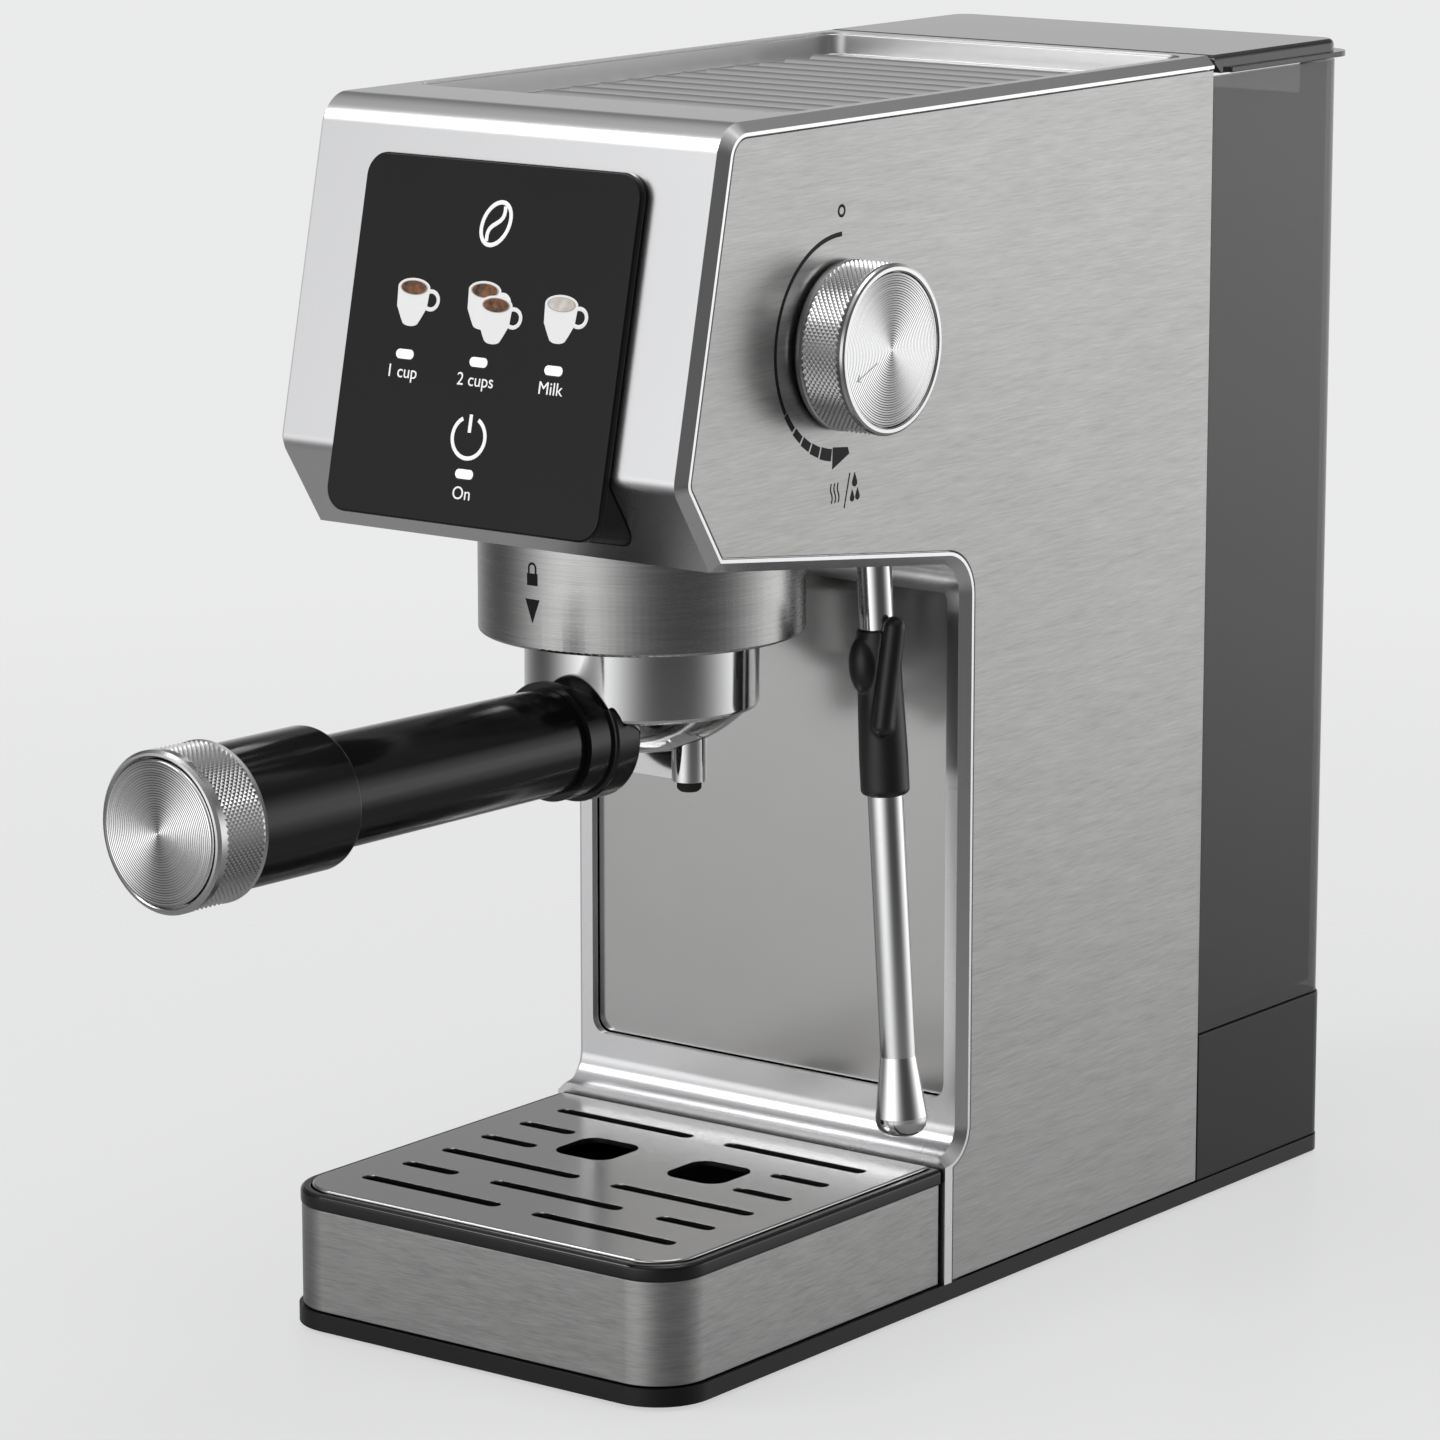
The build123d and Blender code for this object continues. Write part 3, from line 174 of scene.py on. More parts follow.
def brushed_metal(name, colour, roughness=0.34, along=70, across=2600, depth=0.012, streaks=0.10):
    """Stainless steel with short level grinding lines, the same on flat and round walls."""
    made = Finish(name, colour, roughness, 1.0)
    longer, wider = 0.4, 0.22           # the coarse lines' stretch against that of the fine ones
    fine_share = 0.65
    contrast, offset = 1.8, 0.4
    fine = made.noise(made.place(stretch=(along, along, across)), detail=3.0, roughness=0.6)
    coarse = made.noise(
        made.place(stretch=(along * longer, along * longer, across * wider)), detail=2.0,
    )
    cloud = made.noise(made.place(), scale=14.0)
    grain = fine * fine_share + coarse * (1 - fine_share)
    dark, light = shaded(colour, 1 - 2.2 * streaks), shaded(colour, 1 + 1.4 * streaks)
    made.set(
        Base_Color=made.mix((grain * contrast - offset).clamp(), dark, light),
        Roughness=(roughness - 0.08) + grain * 0.12 + cloud * 0.06,
    )
    made.bump(grain, depth * MM)
    return made.material


def satin_metal(name, colour, roughness=0.3, depth=0.004):
    """Fine blasted metal or metallic lacquer, with faint clouds."""
    made = Finish(name, colour, roughness, 1.0)
    grain = made.noise(made.place(), scale=4200.0, detail=2.0)
    cloud = made.noise(made.place(), scale=9.0, detail=3.0)
    made.set(
        Base_Color=made.mix(cloud, shaded(colour, 0.95), colour),
        Roughness=(roughness - 0.03) + cloud * 0.06,
    )
    made.bump(grain, depth * MM)
    return made.material


def polished_metal(name, colour, roughness=0.06, smudge=0.05):
    """Polished or chromed metal, with smudges that only its roughness shows."""
    made = Finish(name, colour, roughness, 1.0)
    smear = made.noise(made.place(), scale=40.0, detail=4.0, roughness=0.6)
    made.set(
        Base_Color=made.mix(smear, shaded(colour, 0.97), colour),
        Roughness=roughness + (smear - 0.4).clamp() * smudge * 2,
    )
    made.bump(made.noise(made.place(), scale=60.0), 0.004 * MM)
    return made.material


def spun_metal(name, colour, centre, turn, roughness=0.17):
    """A disc faced on a lathe: faint circles, and a painted sheen in two fans.

    turn lays local Z along the disc's axis and local Y upright, where the painted shade is deepest.
    """
    made = Finish(name, colour, roughness, 1.0)
    # the deepest painted shade of the sheen's dark fans
    painted_shade_colour = shaded(colour, 0.22)
    ring_share = 0.2
    local = made.place(centre, turn, (1, 1, 0))
    radius = made.node("ShaderNodeVectorMath", {"operation": "LENGTH"}, {0: local}, output="Value")
    rings = made.node(
        "ShaderNodeTexNoise", {"noise_dimensions": "1D"}, {"W": radius, "Scale": 900.0, "Detail": 3.0},
    )
    upright = made.node("ShaderNodeSeparateXYZ", {}, {0: local}, output="Y") / radius
    # painted sheen and shade: the colour darkens towards local Y, painting bright fans at the disc's sides and
    # dark fans above and below
    painted_shade_wedge = (upright * upright) ** 2.0
    made.set(
        Base_Color=made.mix(rings * ring_share + (1 - painted_shade_wedge) * (1 - ring_share), painted_shade_colour, colour),
        Roughness=(roughness - 0.06) + rings * 0.12,
    )
    return made.material


def moulded_plastic(name, colour, roughness=0.4, grain_scale=2600.0, depth=0.01, **constants):
    """Moulded plastic with a fine grain and slight gloss clouds."""
    made = Finish(name, colour, roughness, **constants)
    grain = made.noise(made.place(), scale=grain_scale, detail=2.0)
    cloud = made.noise(made.place(), scale=30.0, detail=3.0)
    made.set(
        Base_Color=made.mix(cloud, shaded(colour, 0.85), shaded(colour, 1.1)),
        Roughness=(roughness - 0.04) + cloud * 0.08,
    )
    made.bump(grain, depth * MM)
    return made.material


def clear_plastic(name, colour, roughness=0.08, alpha=0.8):
    """Tinted see-through plastic."""
    made = Finish(name, colour, roughness, Alpha=alpha, IOR=1.45)
    cloud = made.noise(made.place(), scale=12.0, detail=2.0)
    made.set(
        Base_Color=made.mix(cloud, shaded(colour, 0.9), shaded(colour, 1.1)),
        Roughness=(roughness - 0.02) + cloud * 0.04,
    )
    made.bump(made.noise(made.place(), scale=50.0), 0.006 * MM)
    return made.material


def smoky_plastic(name, pale, deep, low, high, roughness=0.07):
    """See-through smoky plastic with painted shade: its colour darkens and its opacity grows from one height down
    to another.
    """
    made = Finish(name, deep, roughness, IOR=1.45)
    opacity, lighter_above = 0.80, 0.04
    height = made.node("ShaderNodeSeparateXYZ", {}, {0: made.place()}, output="Z")
    cloud = made.noise(made.place(), scale=9.0, detail=2.0)
    # painted shade: paler and more see-through above, darker below, as light falls off down the tank
    painted_shade_rise = ((height - low) * (1 / (high - low)) + (cloud - 0.5) * 0.15).clamp()
    made.set(
        Base_Color=made.mix(painted_shade_rise, deep, pale),
        Alpha=opacity - painted_shade_rise * lighter_above,
        Roughness=roughness + cloud * 0.03,
    )
    made.bump(made.noise(made.place(), scale=50.0), 0.006 * MM)
    return made.material


def printed_ink(name, colour, roughness=0.5, glow=0.0):
    """Screen-printed ink, slightly uneven."""
    made = Finish(
        name, colour, roughness,
        Specular_IOR_Level=0.2, Emission_Strength=glow, Emission_Color=(*colour, 1.0),
    )
    mottle = made.noise(made.place(), scale=3000.0, detail=2.0)
    made.set(Base_Color=made.mix(mottle, shaded(colour, 0.9), colour))
    return made.material


def circuit_board(name):
    """Green solder mask with faint copper tracks beneath."""
    made = Finish(name, (0.02, 0.12, 0.05), 0.35)
    tracks = made.node("ShaderNodeTexBrick", {}, {
        "Vector": made.place(turn=(pi / 2, 0, 0)), "Scale": 140.0, "Mortar Size": 0.02,
        "Color1": (0.015, 0.10, 0.04, 1.0), "Color2": (0.02, 0.13, 0.05, 1.0),
        "Mortar": (0.05, 0.22, 0.09, 1.0),
    })
    made.set(Base_Color=tracks)
    return made.material


finishes = {
    "black_base": moulded_plastic("black_base", (0.008, 0.008, 0.0085), 0.34, Specular_IOR_Level=0.35),
    "black_rubber": moulded_plastic("black_rubber", (0.015, 0.015, 0.015), 0.7, depth=0.02),
    "zinc_steel": satin_metal("zinc_steel", (0.62, 0.62, 0.60), 0.35),
    "satin_casing": satin_metal("satin_casing", (0.78, 0.78, 0.79), 0.27),
    "mirror_steel": polished_metal("mirror_steel", (0.50, 0.495, 0.49), 0.17, 0.06),
    "brushed_steel": brushed_metal(
        "brushed_steel", (0.43, 0.427, 0.423), along=110, across=2000, streaks=0.13,
    ),
    "brushed_skirt": brushed_metal(
        "brushed_skirt", (0.42, 0.416, 0.412), 0.32, along=200, depth=0.016, streaks=0.14,
    ),
    "brushed_ring": brushed_metal("brushed_ring", (0.52, 0.515, 0.51), 0.26, along=60),
    "satin_steel": satin_metal("satin_steel", (0.70, 0.70, 0.70), 0.3),
    "grille_steel": satin_metal("grille_steel", (0.58, 0.575, 0.57), 0.2, depth=0.006),
    "satin_casting": satin_metal("satin_casting", (0.72, 0.72, 0.72), 0.4, depth=0.03),
    "boiler_aluminium": satin_metal("boiler_aluminium", (0.70, 0.70, 0.69), 0.45, depth=0.03),
    "grey_silicone": moulded_plastic("grey_silicone", (0.18, 0.18, 0.18), 0.6),
    "clear_silicone": clear_plastic("clear_silicone", (0.75, 0.75, 0.72), 0.3, 0.7),
    "black_glass": moulded_plastic(
        "black_glass", (0.011, 0.0105, 0.011), 0.14, depth=0.0, Specular_IOR_Level=0.22,
    ),
    "light_diffuser": printed_ink("light_diffuser", (0.92, 0.92, 0.92), 0.35, glow=0.55),
    "circuit_board": circuit_board("circuit_board"),
    "pump_plastic": moulded_plastic("pump_plastic", (0.05, 0.05, 0.055), 0.45),
    "valve_brass": satin_metal("valve_brass", (0.72, 0.53, 0.24), 0.3),
    "pipe_copper": satin_metal("pipe_copper", (0.78, 0.40, 0.25), 0.28),
    "polished_chrome": polished_metal("polished_chrome", (0.78, 0.78, 0.785), 0.09),
    "gloss_black": moulded_plastic(
        "gloss_black", (0.008, 0.008, 0.0085), 0.14, depth=0.0, Specular_IOR_Level=0.45,
    ),
    "knurled_aluminium": satin_metal("knurled_aluminium", (0.66, 0.66, 0.66), 0.2),
    "spun_aluminium": satin_metal("spun_aluminium", (0.80, 0.80, 0.80), 0.28),
    # the tank carries painted shade, darker from high down to low
    "smoky_tank": smoky_plastic(
        "smoky_tank", pale=(0.135, 0.134, 0.132), deep=(0.042, 0.041, 0.040), low=0.05, high=0.30,
    ),
    "lid_gloss": clear_plastic("lid_gloss", (0.035, 0.035, 0.036), 0.06, 0.92),
}
# the white print glows a little: painted light that keeps it bright as if well lit
white_print = printed_ink("white_print", (0.88, 0.88, 0.88), 0.45, glow=0.40)
black_print = printed_ink("black_print", (0.012, 0.012, 0.012), 0.5)
slot_of = {part["node"]: part["material_slot"] for part in frame["record"]["subparts"]}
body_of = {
    node: body
    for body, members in frame["record"]["behaviour"]["bodies"].items()
    for node in members
}


def paint(piece, material):
    piece.data.materials.clear()
    piece.data.materials.append(material)


for node, slot in slot_of.items():
    paint(nodes[node], finishes[slot])


# ---------------------------------------------------------------- making pieces
def finished(name, bm, body, slot, material=None, stands_for=(), smooth=35):
    """Turns a bmesh, already in its place, into a piece that rides on a body."""
    mesh = bpy.data.meshes.new(name)
    bm.to_mesh(mesh)
    bm.free()
    for face in mesh.polygons:
        face.use_smooth = True
    mesh.set_sharp_from_angle(angle=radians(smooth))
    piece = bpy.data.objects.new(name, mesh)
    bpy.context.scene.collection.objects.link(piece)
    paint(piece, material or finishes[slot])
    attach(piece, body)
    if stands_for:
        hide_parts(*stands_for)
    return piece


def softened(node, width, segments=2, sharp=28, material=None):
    """A piece of a node's own shape, with its sharp corners rounded over."""
    bm = bmesh.new()
    bm.from_mesh(nodes[node].data)
    bmesh.ops.remove_doubles(bm, verts=bm.verts, dist=0.002 * MM)
    bmesh.ops.dissolve_limit(bm, angle_limit=radians(0.4), verts=bm.verts, edges=bm.edges)
    corners = [
        edge for edge in bm.edges
        if len(edge.link_faces) == 2 and edge.calc_face_angle() > radians(sharp)
    ]
    bmesh.ops.bevel(
        bm, geom=corners, offset=width * MM, offset_type="OFFSET", affect="EDGES",
        segments=segments, profile=0.5, clamp_overlap=True, material=-1,
    )
    piece = finished(f"{node}_shown", bm, body_of[node], slot_of[node], material, [node])
    weighted = piece.modifiers.new("flat_faces", "WEIGHTED_NORMAL")
    weighted.keep_sharp = True
    return piece


# how far each node's sharp corners are rounded over, in millimetres
for node, width in {
    "casing": 0.5, "side_panel_left": 0.25, "side_panel_right": 0.25, "backsplash": 0.3,
    "control_panel": 0.3, "control_housing": 0.3, "group_ring": 0.3, "cup_warmer_plate": 0.4,
    "rear_base": 0.5, "tray_skirt": 0.3, "tray_rim": 0.35, "drip_grille": 0.25, "tank_lid": 0.4,
    "double_spout": 0.4, "spout_tips": 0.2, "handle_collar": 0.4, "handle_grip": 0.4,
    "handle_sleeve": 0.5, "base_pan": 0.4, "wand_swivel": 0.4, "wand_socket": 0.4,
}.items():
    softened(node, width)


# ---------------------------------------------------------------- turned and knurled pieces
def spun(profile, steps, closed):
    """A solid turned about local Z from (radius, height) points. A closed profile is a ring's section."""
    bm = bmesh.new()
    corners = [bm.verts.new((radius, 0, height)) for radius, height in profile]
    lines = [bm.edges.new(pair) for pair in zip(corners, corners[1:])]
    if closed:
        lines.append(bm.edges.new((corners[-1], corners[0])))
    bmesh.ops.spin(
        bm, geom=corners + lines, cent=(0, 0, 0), axis=(0, 0, 1), dvec=(0, 0, 0),
        angle=2 * pi, steps=steps, use_merge=True, use_duplicate=False,
    )
    bmesh.ops.remove_doubles(bm, verts=bm.verts, dist=0.0005 * MM)
    bmesh.ops.recalc_face_normals(bm, faces=bm.faces)
    return bm


def knurl(bm, around, columns, start, pitch, radius, depth):
    """Cuts diamonds into the band of a turned piece that starts at height start."""
    turn = 2 * pi / (2 * around)
    step = pitch / 2
    band = []
    for vert in bm.verts:
        column = round((vert.co.z - start) / step)
        off_grid = abs(vert.co.z - start - column * step) > 0.01 * MM
        if off_grid or not 0 <= column <= 2 * columns or hypot(vert.co.x, vert.co.y) < radius - 2 * depth:
            continue
        row = round(atan2(vert.co.y, vert.co.x) / turn)
        if 0 < column < 2 * columns:
            band.append(vert)
        valley = (row + column) % 2 or column in (0, 2 * columns)
        scale = (radius - depth) / radius if valley else 1.0
        vert.co.x *= scale
        vert.co.y *= scale
    faces = {face for vert in band for face in vert.link_faces}
    bmesh.ops.triangulate(bm, faces=list(faces), quad_method="SHORT_EDGE")
    bmesh.ops.recalc_face_normals(bm, faces=bm.faces)


def turned_face(radius, height, pitch=0.6 * MM, depth=0.07 * MM):
    """A lathe's fine circular grooves, as a profile from the rim of a disc to its centre."""
    steps = 6 * int(radius / pitch)
    profile = []
    for index in range(steps, 0, -1):
        r = radius * index / steps
        profile.append((r, height - depth / 2 * (1 - cos(2 * pi * r / pitch))))
    return profile + [(0, height)]


def centre_of(node):
    low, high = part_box(node)
    return (low + high) / 2


def frame_along(origin, direction, across=(0, 0, 1)):
    """A matrix whose local Z is the direction and whose local Y is as near to across as it can be."""
    z = Vector(direction).normalized()
    x = Vector(across).cross(z).normalized()
    y = z.cross(x)
    matrix = Matrix((x, y, z)).transposed().to_4x4()
    matrix.translation = origin
    return matrix


def knob():
    """The steam knob: a knurled band between two plain rims, a recessed spun face and its pointer."""
    low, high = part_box("knob_body")
    face_low, face_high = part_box("knob_face")
    centre = centre_of("knob_body")
    radius = (high.z - low.z) / 2
    length = high.x - low.x
    seat = face_high.x - low.x
    lip = (face_high.z - face_low.z) / 2
    bore, corner = 10.0 * MM, 0.8 * MM
    columns, pitch, depth = 8, 1.32 * MM, 0.42 * MM
    band, plain = 1.9 * MM, 0.35 * MM       # where the knurling starts, and the bare metal beside it
    end = band + columns * pitch
    profile = [
        (bore, 0), (radius - corner, 0), (radius - 0.2 * MM, 0.25 * MM), (radius, corner),
        (radius, band - plain),
    ]
    profile += [(radius, band + index * pitch / 2) for index in range(2 * columns + 1)]
    profile += [
        (radius, end + plain), (radius, length - 0.9 * MM), (radius - 0.25 * MM, length - 0.3 * MM),
        (radius - corner, length), (lip + 0.55 * MM, length), (lip + 0.2 * MM, length - 0.25 * MM),
        (lip + 0.06 * MM, seat - 0.9 * MM), (bore, seat - 1.25 * MM),
    ]
    bm = spun(profile, 2 * DIAMONDS, True)
    knurl(bm, DIAMONDS, columns, band, pitch, radius, depth)
    bm.transform(frame_along((low.x, centre.y, centre.z), (1, 0, 0)))
    finished("knob_band", bm, "steam_knob", "knurled_aluminium", stands_for=["knob_body"], smooth=12)

    thick = 1.15 * MM
    rim = [(0, 0), (lip, 0), (lip, 0.9 * MM), (lip - 0.1 * MM, 1.1 * MM)]
    bm = spun(rim + turned_face(lip - 0.3 * MM, thick), DISC_STEPS, False)
    bm.transform(frame_along((face_low.x, centre.y, centre.z), (1, 0, 0)))
    turn = frame_along(centre, (1, 0, 0)).to_euler()
    spun_face = spun_metal("knob_spun_face", (0.88, 0.88, 0.88), centre, tuple(turn))
    finished("knob_disc", bm, "steam_knob", "spun_aluminium", spun_face, ["knob_face"], smooth=45)

    # the engraved pointer, a fine line with a small head, laid on the face as a thin sheet of darker, rougher
    # metal: partly the cut's own finish, partly painted shade standing in for the shade inside the cut
    surface = frame_along((face_low.x + thick, centre.y, centre.z), (1, 0, 0))
    head_side, head_length, line_width = 0.9 * MM, 1.3 * MM, 0.22 * MM
    towards = Vector((-14.6, -6.3)).normalized()
    tail, tip = towards * 6.5 * MM, towards * 15.2 * MM
    side = Vector((-towards.y, towards.x)) * head_side
    back = towards * head_length
    bm = strokes([[tail, tip], [tip - back + side, tip], [tip - back - side, tip]], line_width)
    bm.transform(surface)
    # painted shade: the pointer's darker colour stands in for shade inside an engraved cut that the disc doesn't
    # have
    painted_groove_shade = satin_metal("pointer_painted_shade", (0.42, 0.42, 0.42), 0.4)
    finished("knob_pointer", bm, "steam_knob", "spun_aluminium", painted_groove_shade)


def handle_end():
    """The knurled ring at the end of the handle and the spun disc inside it."""
    disc_centre = centre_of("handle_cap")
    ring_centre = centre_of("handle_knurled_ring")
    axis = (disc_centre - centre_of("handle_grip")).normalized()
    low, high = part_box("handle_knurled_ring")
    radius = (high.z - low.z) / 2
    length = 16.6 * MM
    start = ring_centre - axis * length / 2
    bore, inner, corner = 6.0 * MM, 17.75 * MM, 0.7 * MM
    columns, pitch, depth = 9, 1.40 * MM, 0.45 * MM
    band = 1.1 * MM                         # where the knurling starts
    end = band + columns * pitch
    profile = [(bore, 0), (radius - corner, 0), (radius, 0.6 * MM)]
    profile += [(radius, band + index * pitch / 2) for index in range(2 * columns + 1)]
    profile += [
        (radius, end + 0.3 * MM), (radius, length - 0.8 * MM), (radius - corner, length - 0.1 * MM),
        (inner + 0.35 * MM, length), (inner, length - 0.3 * MM), (inner, length - 3.4 * MM),
        (bore, length - 3.5 * MM),
    ]
    bm = spun(profile, 2 * DIAMONDS, True)
    knurl(bm, DIAMONDS, columns, band, pitch, radius, depth)
    bm.transform(frame_along(start, axis))
    finished("handle_knurl", bm, "portafilter", "knurled_aluminium",
             stands_for=["handle_knurled_ring"], smooth=12)

    cap_low, cap_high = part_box("handle_cap")
    lip = (cap_high.z - cap_low.z) / 2
    thick = 4.2 * MM
    rim = [(0, 0), (lip, 0), (lip, thick - 0.45 * MM), (lip - 0.2 * MM, thick - 0.1 * MM)]
    bm = spun(rim + turned_face(lip - 0.5 * MM, thick), DISC_STEPS, False)
    bm.transform(frame_along(disc_centre - axis * thick / 2, axis))
    turn = frame_along(disc_centre, axis).to_euler()
    # the handle's face is given a brighter colour than the knob's, for a brighter painted sheen
    spun_face = spun_metal("handle_spun_face", (0.98, 0.98, 0.98), disc_centre, tuple(turn))
    finished("handle_disc", bm, "portafilter", "spun_aluminium", spun_face, ["handle_cap"], smooth=45)


# ---------------------------------------------------------------- printed marks
def strokes(lines, width):
    """Round-ended strokes along lines of (x, y) points, pressed thin, on local Z = 0."""
    bm = bmesh.new()
    for line in lines:
        curve = bpy.data.curves.new("stroke", "CURVE")
        curve.dimensions = "3D"
        curve.bevel_depth = width / 2
        curve.bevel_resolution = 2
        curve.use_fill_caps = True
        spline = curve.splines.new("POLY")
        spline.points.add(len(line) - 1)
        for point, (x, y) in zip(spline.points, line):
            point.co = (x, y, 0, 1)
        holder = bpy.data.objects.new("stroke", curve)
        mesh = bpy.data.meshes.new_from_object(holder)
        bm.from_mesh(mesh)
        bpy.data.objects.remove(holder)
        bpy.data.curves.remove(curve)
        bpy.data.meshes.remove(mesh)
    bmesh.ops.scale(bm, vec=(1, 1, 2 * PRINT / width), verts=bm.verts)
    bmesh.ops.recalc_face_normals(bm, faces=bm.faces)
    return bm


def arc(radius, start, end, steps=48, centre=(0, 0), squash=1.0):
    """Points round a circle or an ellipse, angles in degrees."""
    angles = [radians(start + (end - start) * index / steps) for index in range(steps + 1)]
    return [(centre[0] + radius * cos(a), centre[1] + radius * squash * sin(a)) for a in angles]


def polar(radius, angle):
    """The point at a radius and an angle in degrees."""
    return radius * cos(radians(angle)), radius * sin(radians(angle))


def patch(outline):
    """A thin filled shape from an outline of (x, y) points, on local Z = 0."""
    bm = bmesh.new()
    face = bm.faces.new([bm.verts.new((x, y, -PRINT)) for x, y in outline])
    top = bmesh.ops.extrude_face_region(bm, geom=[face])["geom"]
    raised = [element for element in top if isinstance(element, bmesh.types.BMVert)]
    bmesh.ops.translate(bm, vec=(0, 0, 2 * PRINT), verts=raised)
    bmesh.ops.recalc_face_normals(bm, faces=bm.faces)
    return bm


def words(text, size, x, y):
    """Generic lettering, centred on (x, y), as a thin mesh on local Z = 0."""
    line = bpy.data.curves.new("words", "FONT")
    line.body = text
    line.size = size
    line.align_x = "CENTER"
    line.align_y = "CENTER"
    line.extrude = PRINT
    holder = bpy.data.objects.new("words", line)
    mesh = bpy.data.meshes.new_from_object(holder)
    bm = bmesh.new()
    bm.from_mesh(mesh)
    bpy.data.objects.remove(holder)
    bpy.data.curves.remove(line)
    bpy.data.meshes.remove(mesh)
    bmesh.ops.remove_doubles(bm, verts=bm.verts, dist=0.001 * MM)
    bmesh.ops.translate(bm, vec=(x, y, 0), verts=bm.verts)
    return bm


def joined(*parts):
    whole = bmesh.new()
    for part in parts:
        mesh = bpy.data.meshes.new("part")
        part.to_mesh(mesh)
        part.free()
        whole.from_mesh(mesh)
        bpy.data.meshes.remove(mesh)
    return whole


def shifted(bm, x, y, z=0.0):
    bmesh.ops.translate(bm, vec=(x, y, z), verts=bm.verts)
    return bm


def cup_icon(name, surface, x, y, drink, rim):
    """A small picture of a cup, in layers: body and handle, rim, drink."""
    wide, tall = 5.0 * MM, 10.4 * MM
    top = arc(wide, 180, 0, 24, squash=0.46)
    side = [(wide * 0.93, -0.45 * tall), (wide * 0.62, -0.72 * tall)]
    foot = arc(wide * 0.50, -12, -168, 12, (0, -0.80 * tall), 0.42)
    body = patch(top + side + foot + [(-px, py) for px, py in reversed(side)])
    loop = arc(2.3 * MM, 112, -128, 24, (wide * 1.12, -0.26 * tall), 0.95)
    bm = joined(body, strokes([loop], 1.0 * MM))
    bm.transform(surface @ Matrix.Translation((x, y, 0)))
    finished(f"{name}_cup", bm, "machine", "light_diffuser", white_china)
    for part, material, size, lift in (("rim", rim, 0.86, 1), ("drink", drink, 0.78, 2)):
        bm = patch(arc(wide * size, 0, 350, 35, squash=0.42))
        bm.transform(surface @ Matrix.Translation((x, y, lift * PRINT)))
        finished(f"{name}_{part}", bm, "machine", "light_diffuser", material)


def coffee(name, light, dark):
    """A drink seen from above: crema that darkens to the middle in patches."""
    made = Finish(name, light, 0.3)
    patches = made.noise(made.place(), scale=420.0, detail=2.0)
    made.set(Base_Color=made.mix((patches * 3.0 - 1.0).clamp(), dark, light))
    return made.material


# the china white glows a little: painted light that keeps the cup pictures bright as if well lit
white_china = printed_ink("white_china", (0.86, 0.86, 0.86), 0.4, glow=0.25)
shade_china = printed_ink("shade_china", (0.60, 0.57, 0.55), 0.4)
black_coffee = coffee("black_coffee", (0.30, 0.11, 0.035), (0.012, 0.006, 0.004))
milk_foam = coffee("milk_foam", (0.86, 0.83, 0.80), (0.70, 0.60, 0.52))


def control_marks():
    """The panel's pictures, words and symbols, on its sloping face."""
    tilt = radians(12.35)
    face_height = 1.3 * MM                  # over the panel's centre
    outward = Vector((0, -cos(tilt), sin(tilt)))
    surface = frame_along(centre_of("control_panel") + outward * face_height, outward)
    top_edge = 53.0 * MM                    # over the panel's centre

    def down(distance):
        """A height on the panel, from how far it is below the top edge in millimetres."""
        return top_edge - distance * MM

    for name, x, y, drink in (
        ("single", -22.6, 41.2, black_coffee),
        ("pair_back", -0.7, 40.2, black_coffee),
        ("pair_front", 3.4, 43.4, black_coffee),
        ("milk", 23.0, 41.6, milk_foam),
    ):
        lift = 3.2 * PRINT if name == "pair_front" else 0.0
        place = surface @ Matrix.Translation((0, 0, lift))
        cup_icon(name, place, x * MM, down(y), drink, shade_china)

    letter = 4.4 * MM
    marks = [
        words("1 cup", letter, -23.2 * MM, down(61.8)),
        words("2 cups", letter, -0.2 * MM, down(61.9)),
        words("Milk", letter, 22.8 * MM, down(61.9)),
        words("On", letter, 0.0, down(89.2)),
    ]
    power = down(75.6)
    ring = arc(5.0 * MM, 62, -242, 56, (0, power))
    bar = [(0, power + 5.6 * MM), (0, power + 1.2 * MM)]
    marks.append(strokes([ring, bar], 1.0 * MM))
    # a coffee bean: an oval and the crease across it
    steps = 12
    crease = [
        (0.95 * MM * sin(step / steps * pi), (step / steps) * 4.9 * MM)
        for step in range(-steps, steps + 1)
    ]
    bean = strokes([arc(3.9 * MM, 0, 360, 64, squash=1.42), crease], 1.05 * MM)
    lean = Matrix.Rotation(radians(-28), 4, "Z")
    bean.transform(Matrix.Translation((0, down(24.0), 0)) @ lean)
    marks.append(bean)
    bm = joined(*marks)
    bm.transform(surface)
    finished("panel_marks", bm, "machine", "light_diffuser", white_print)


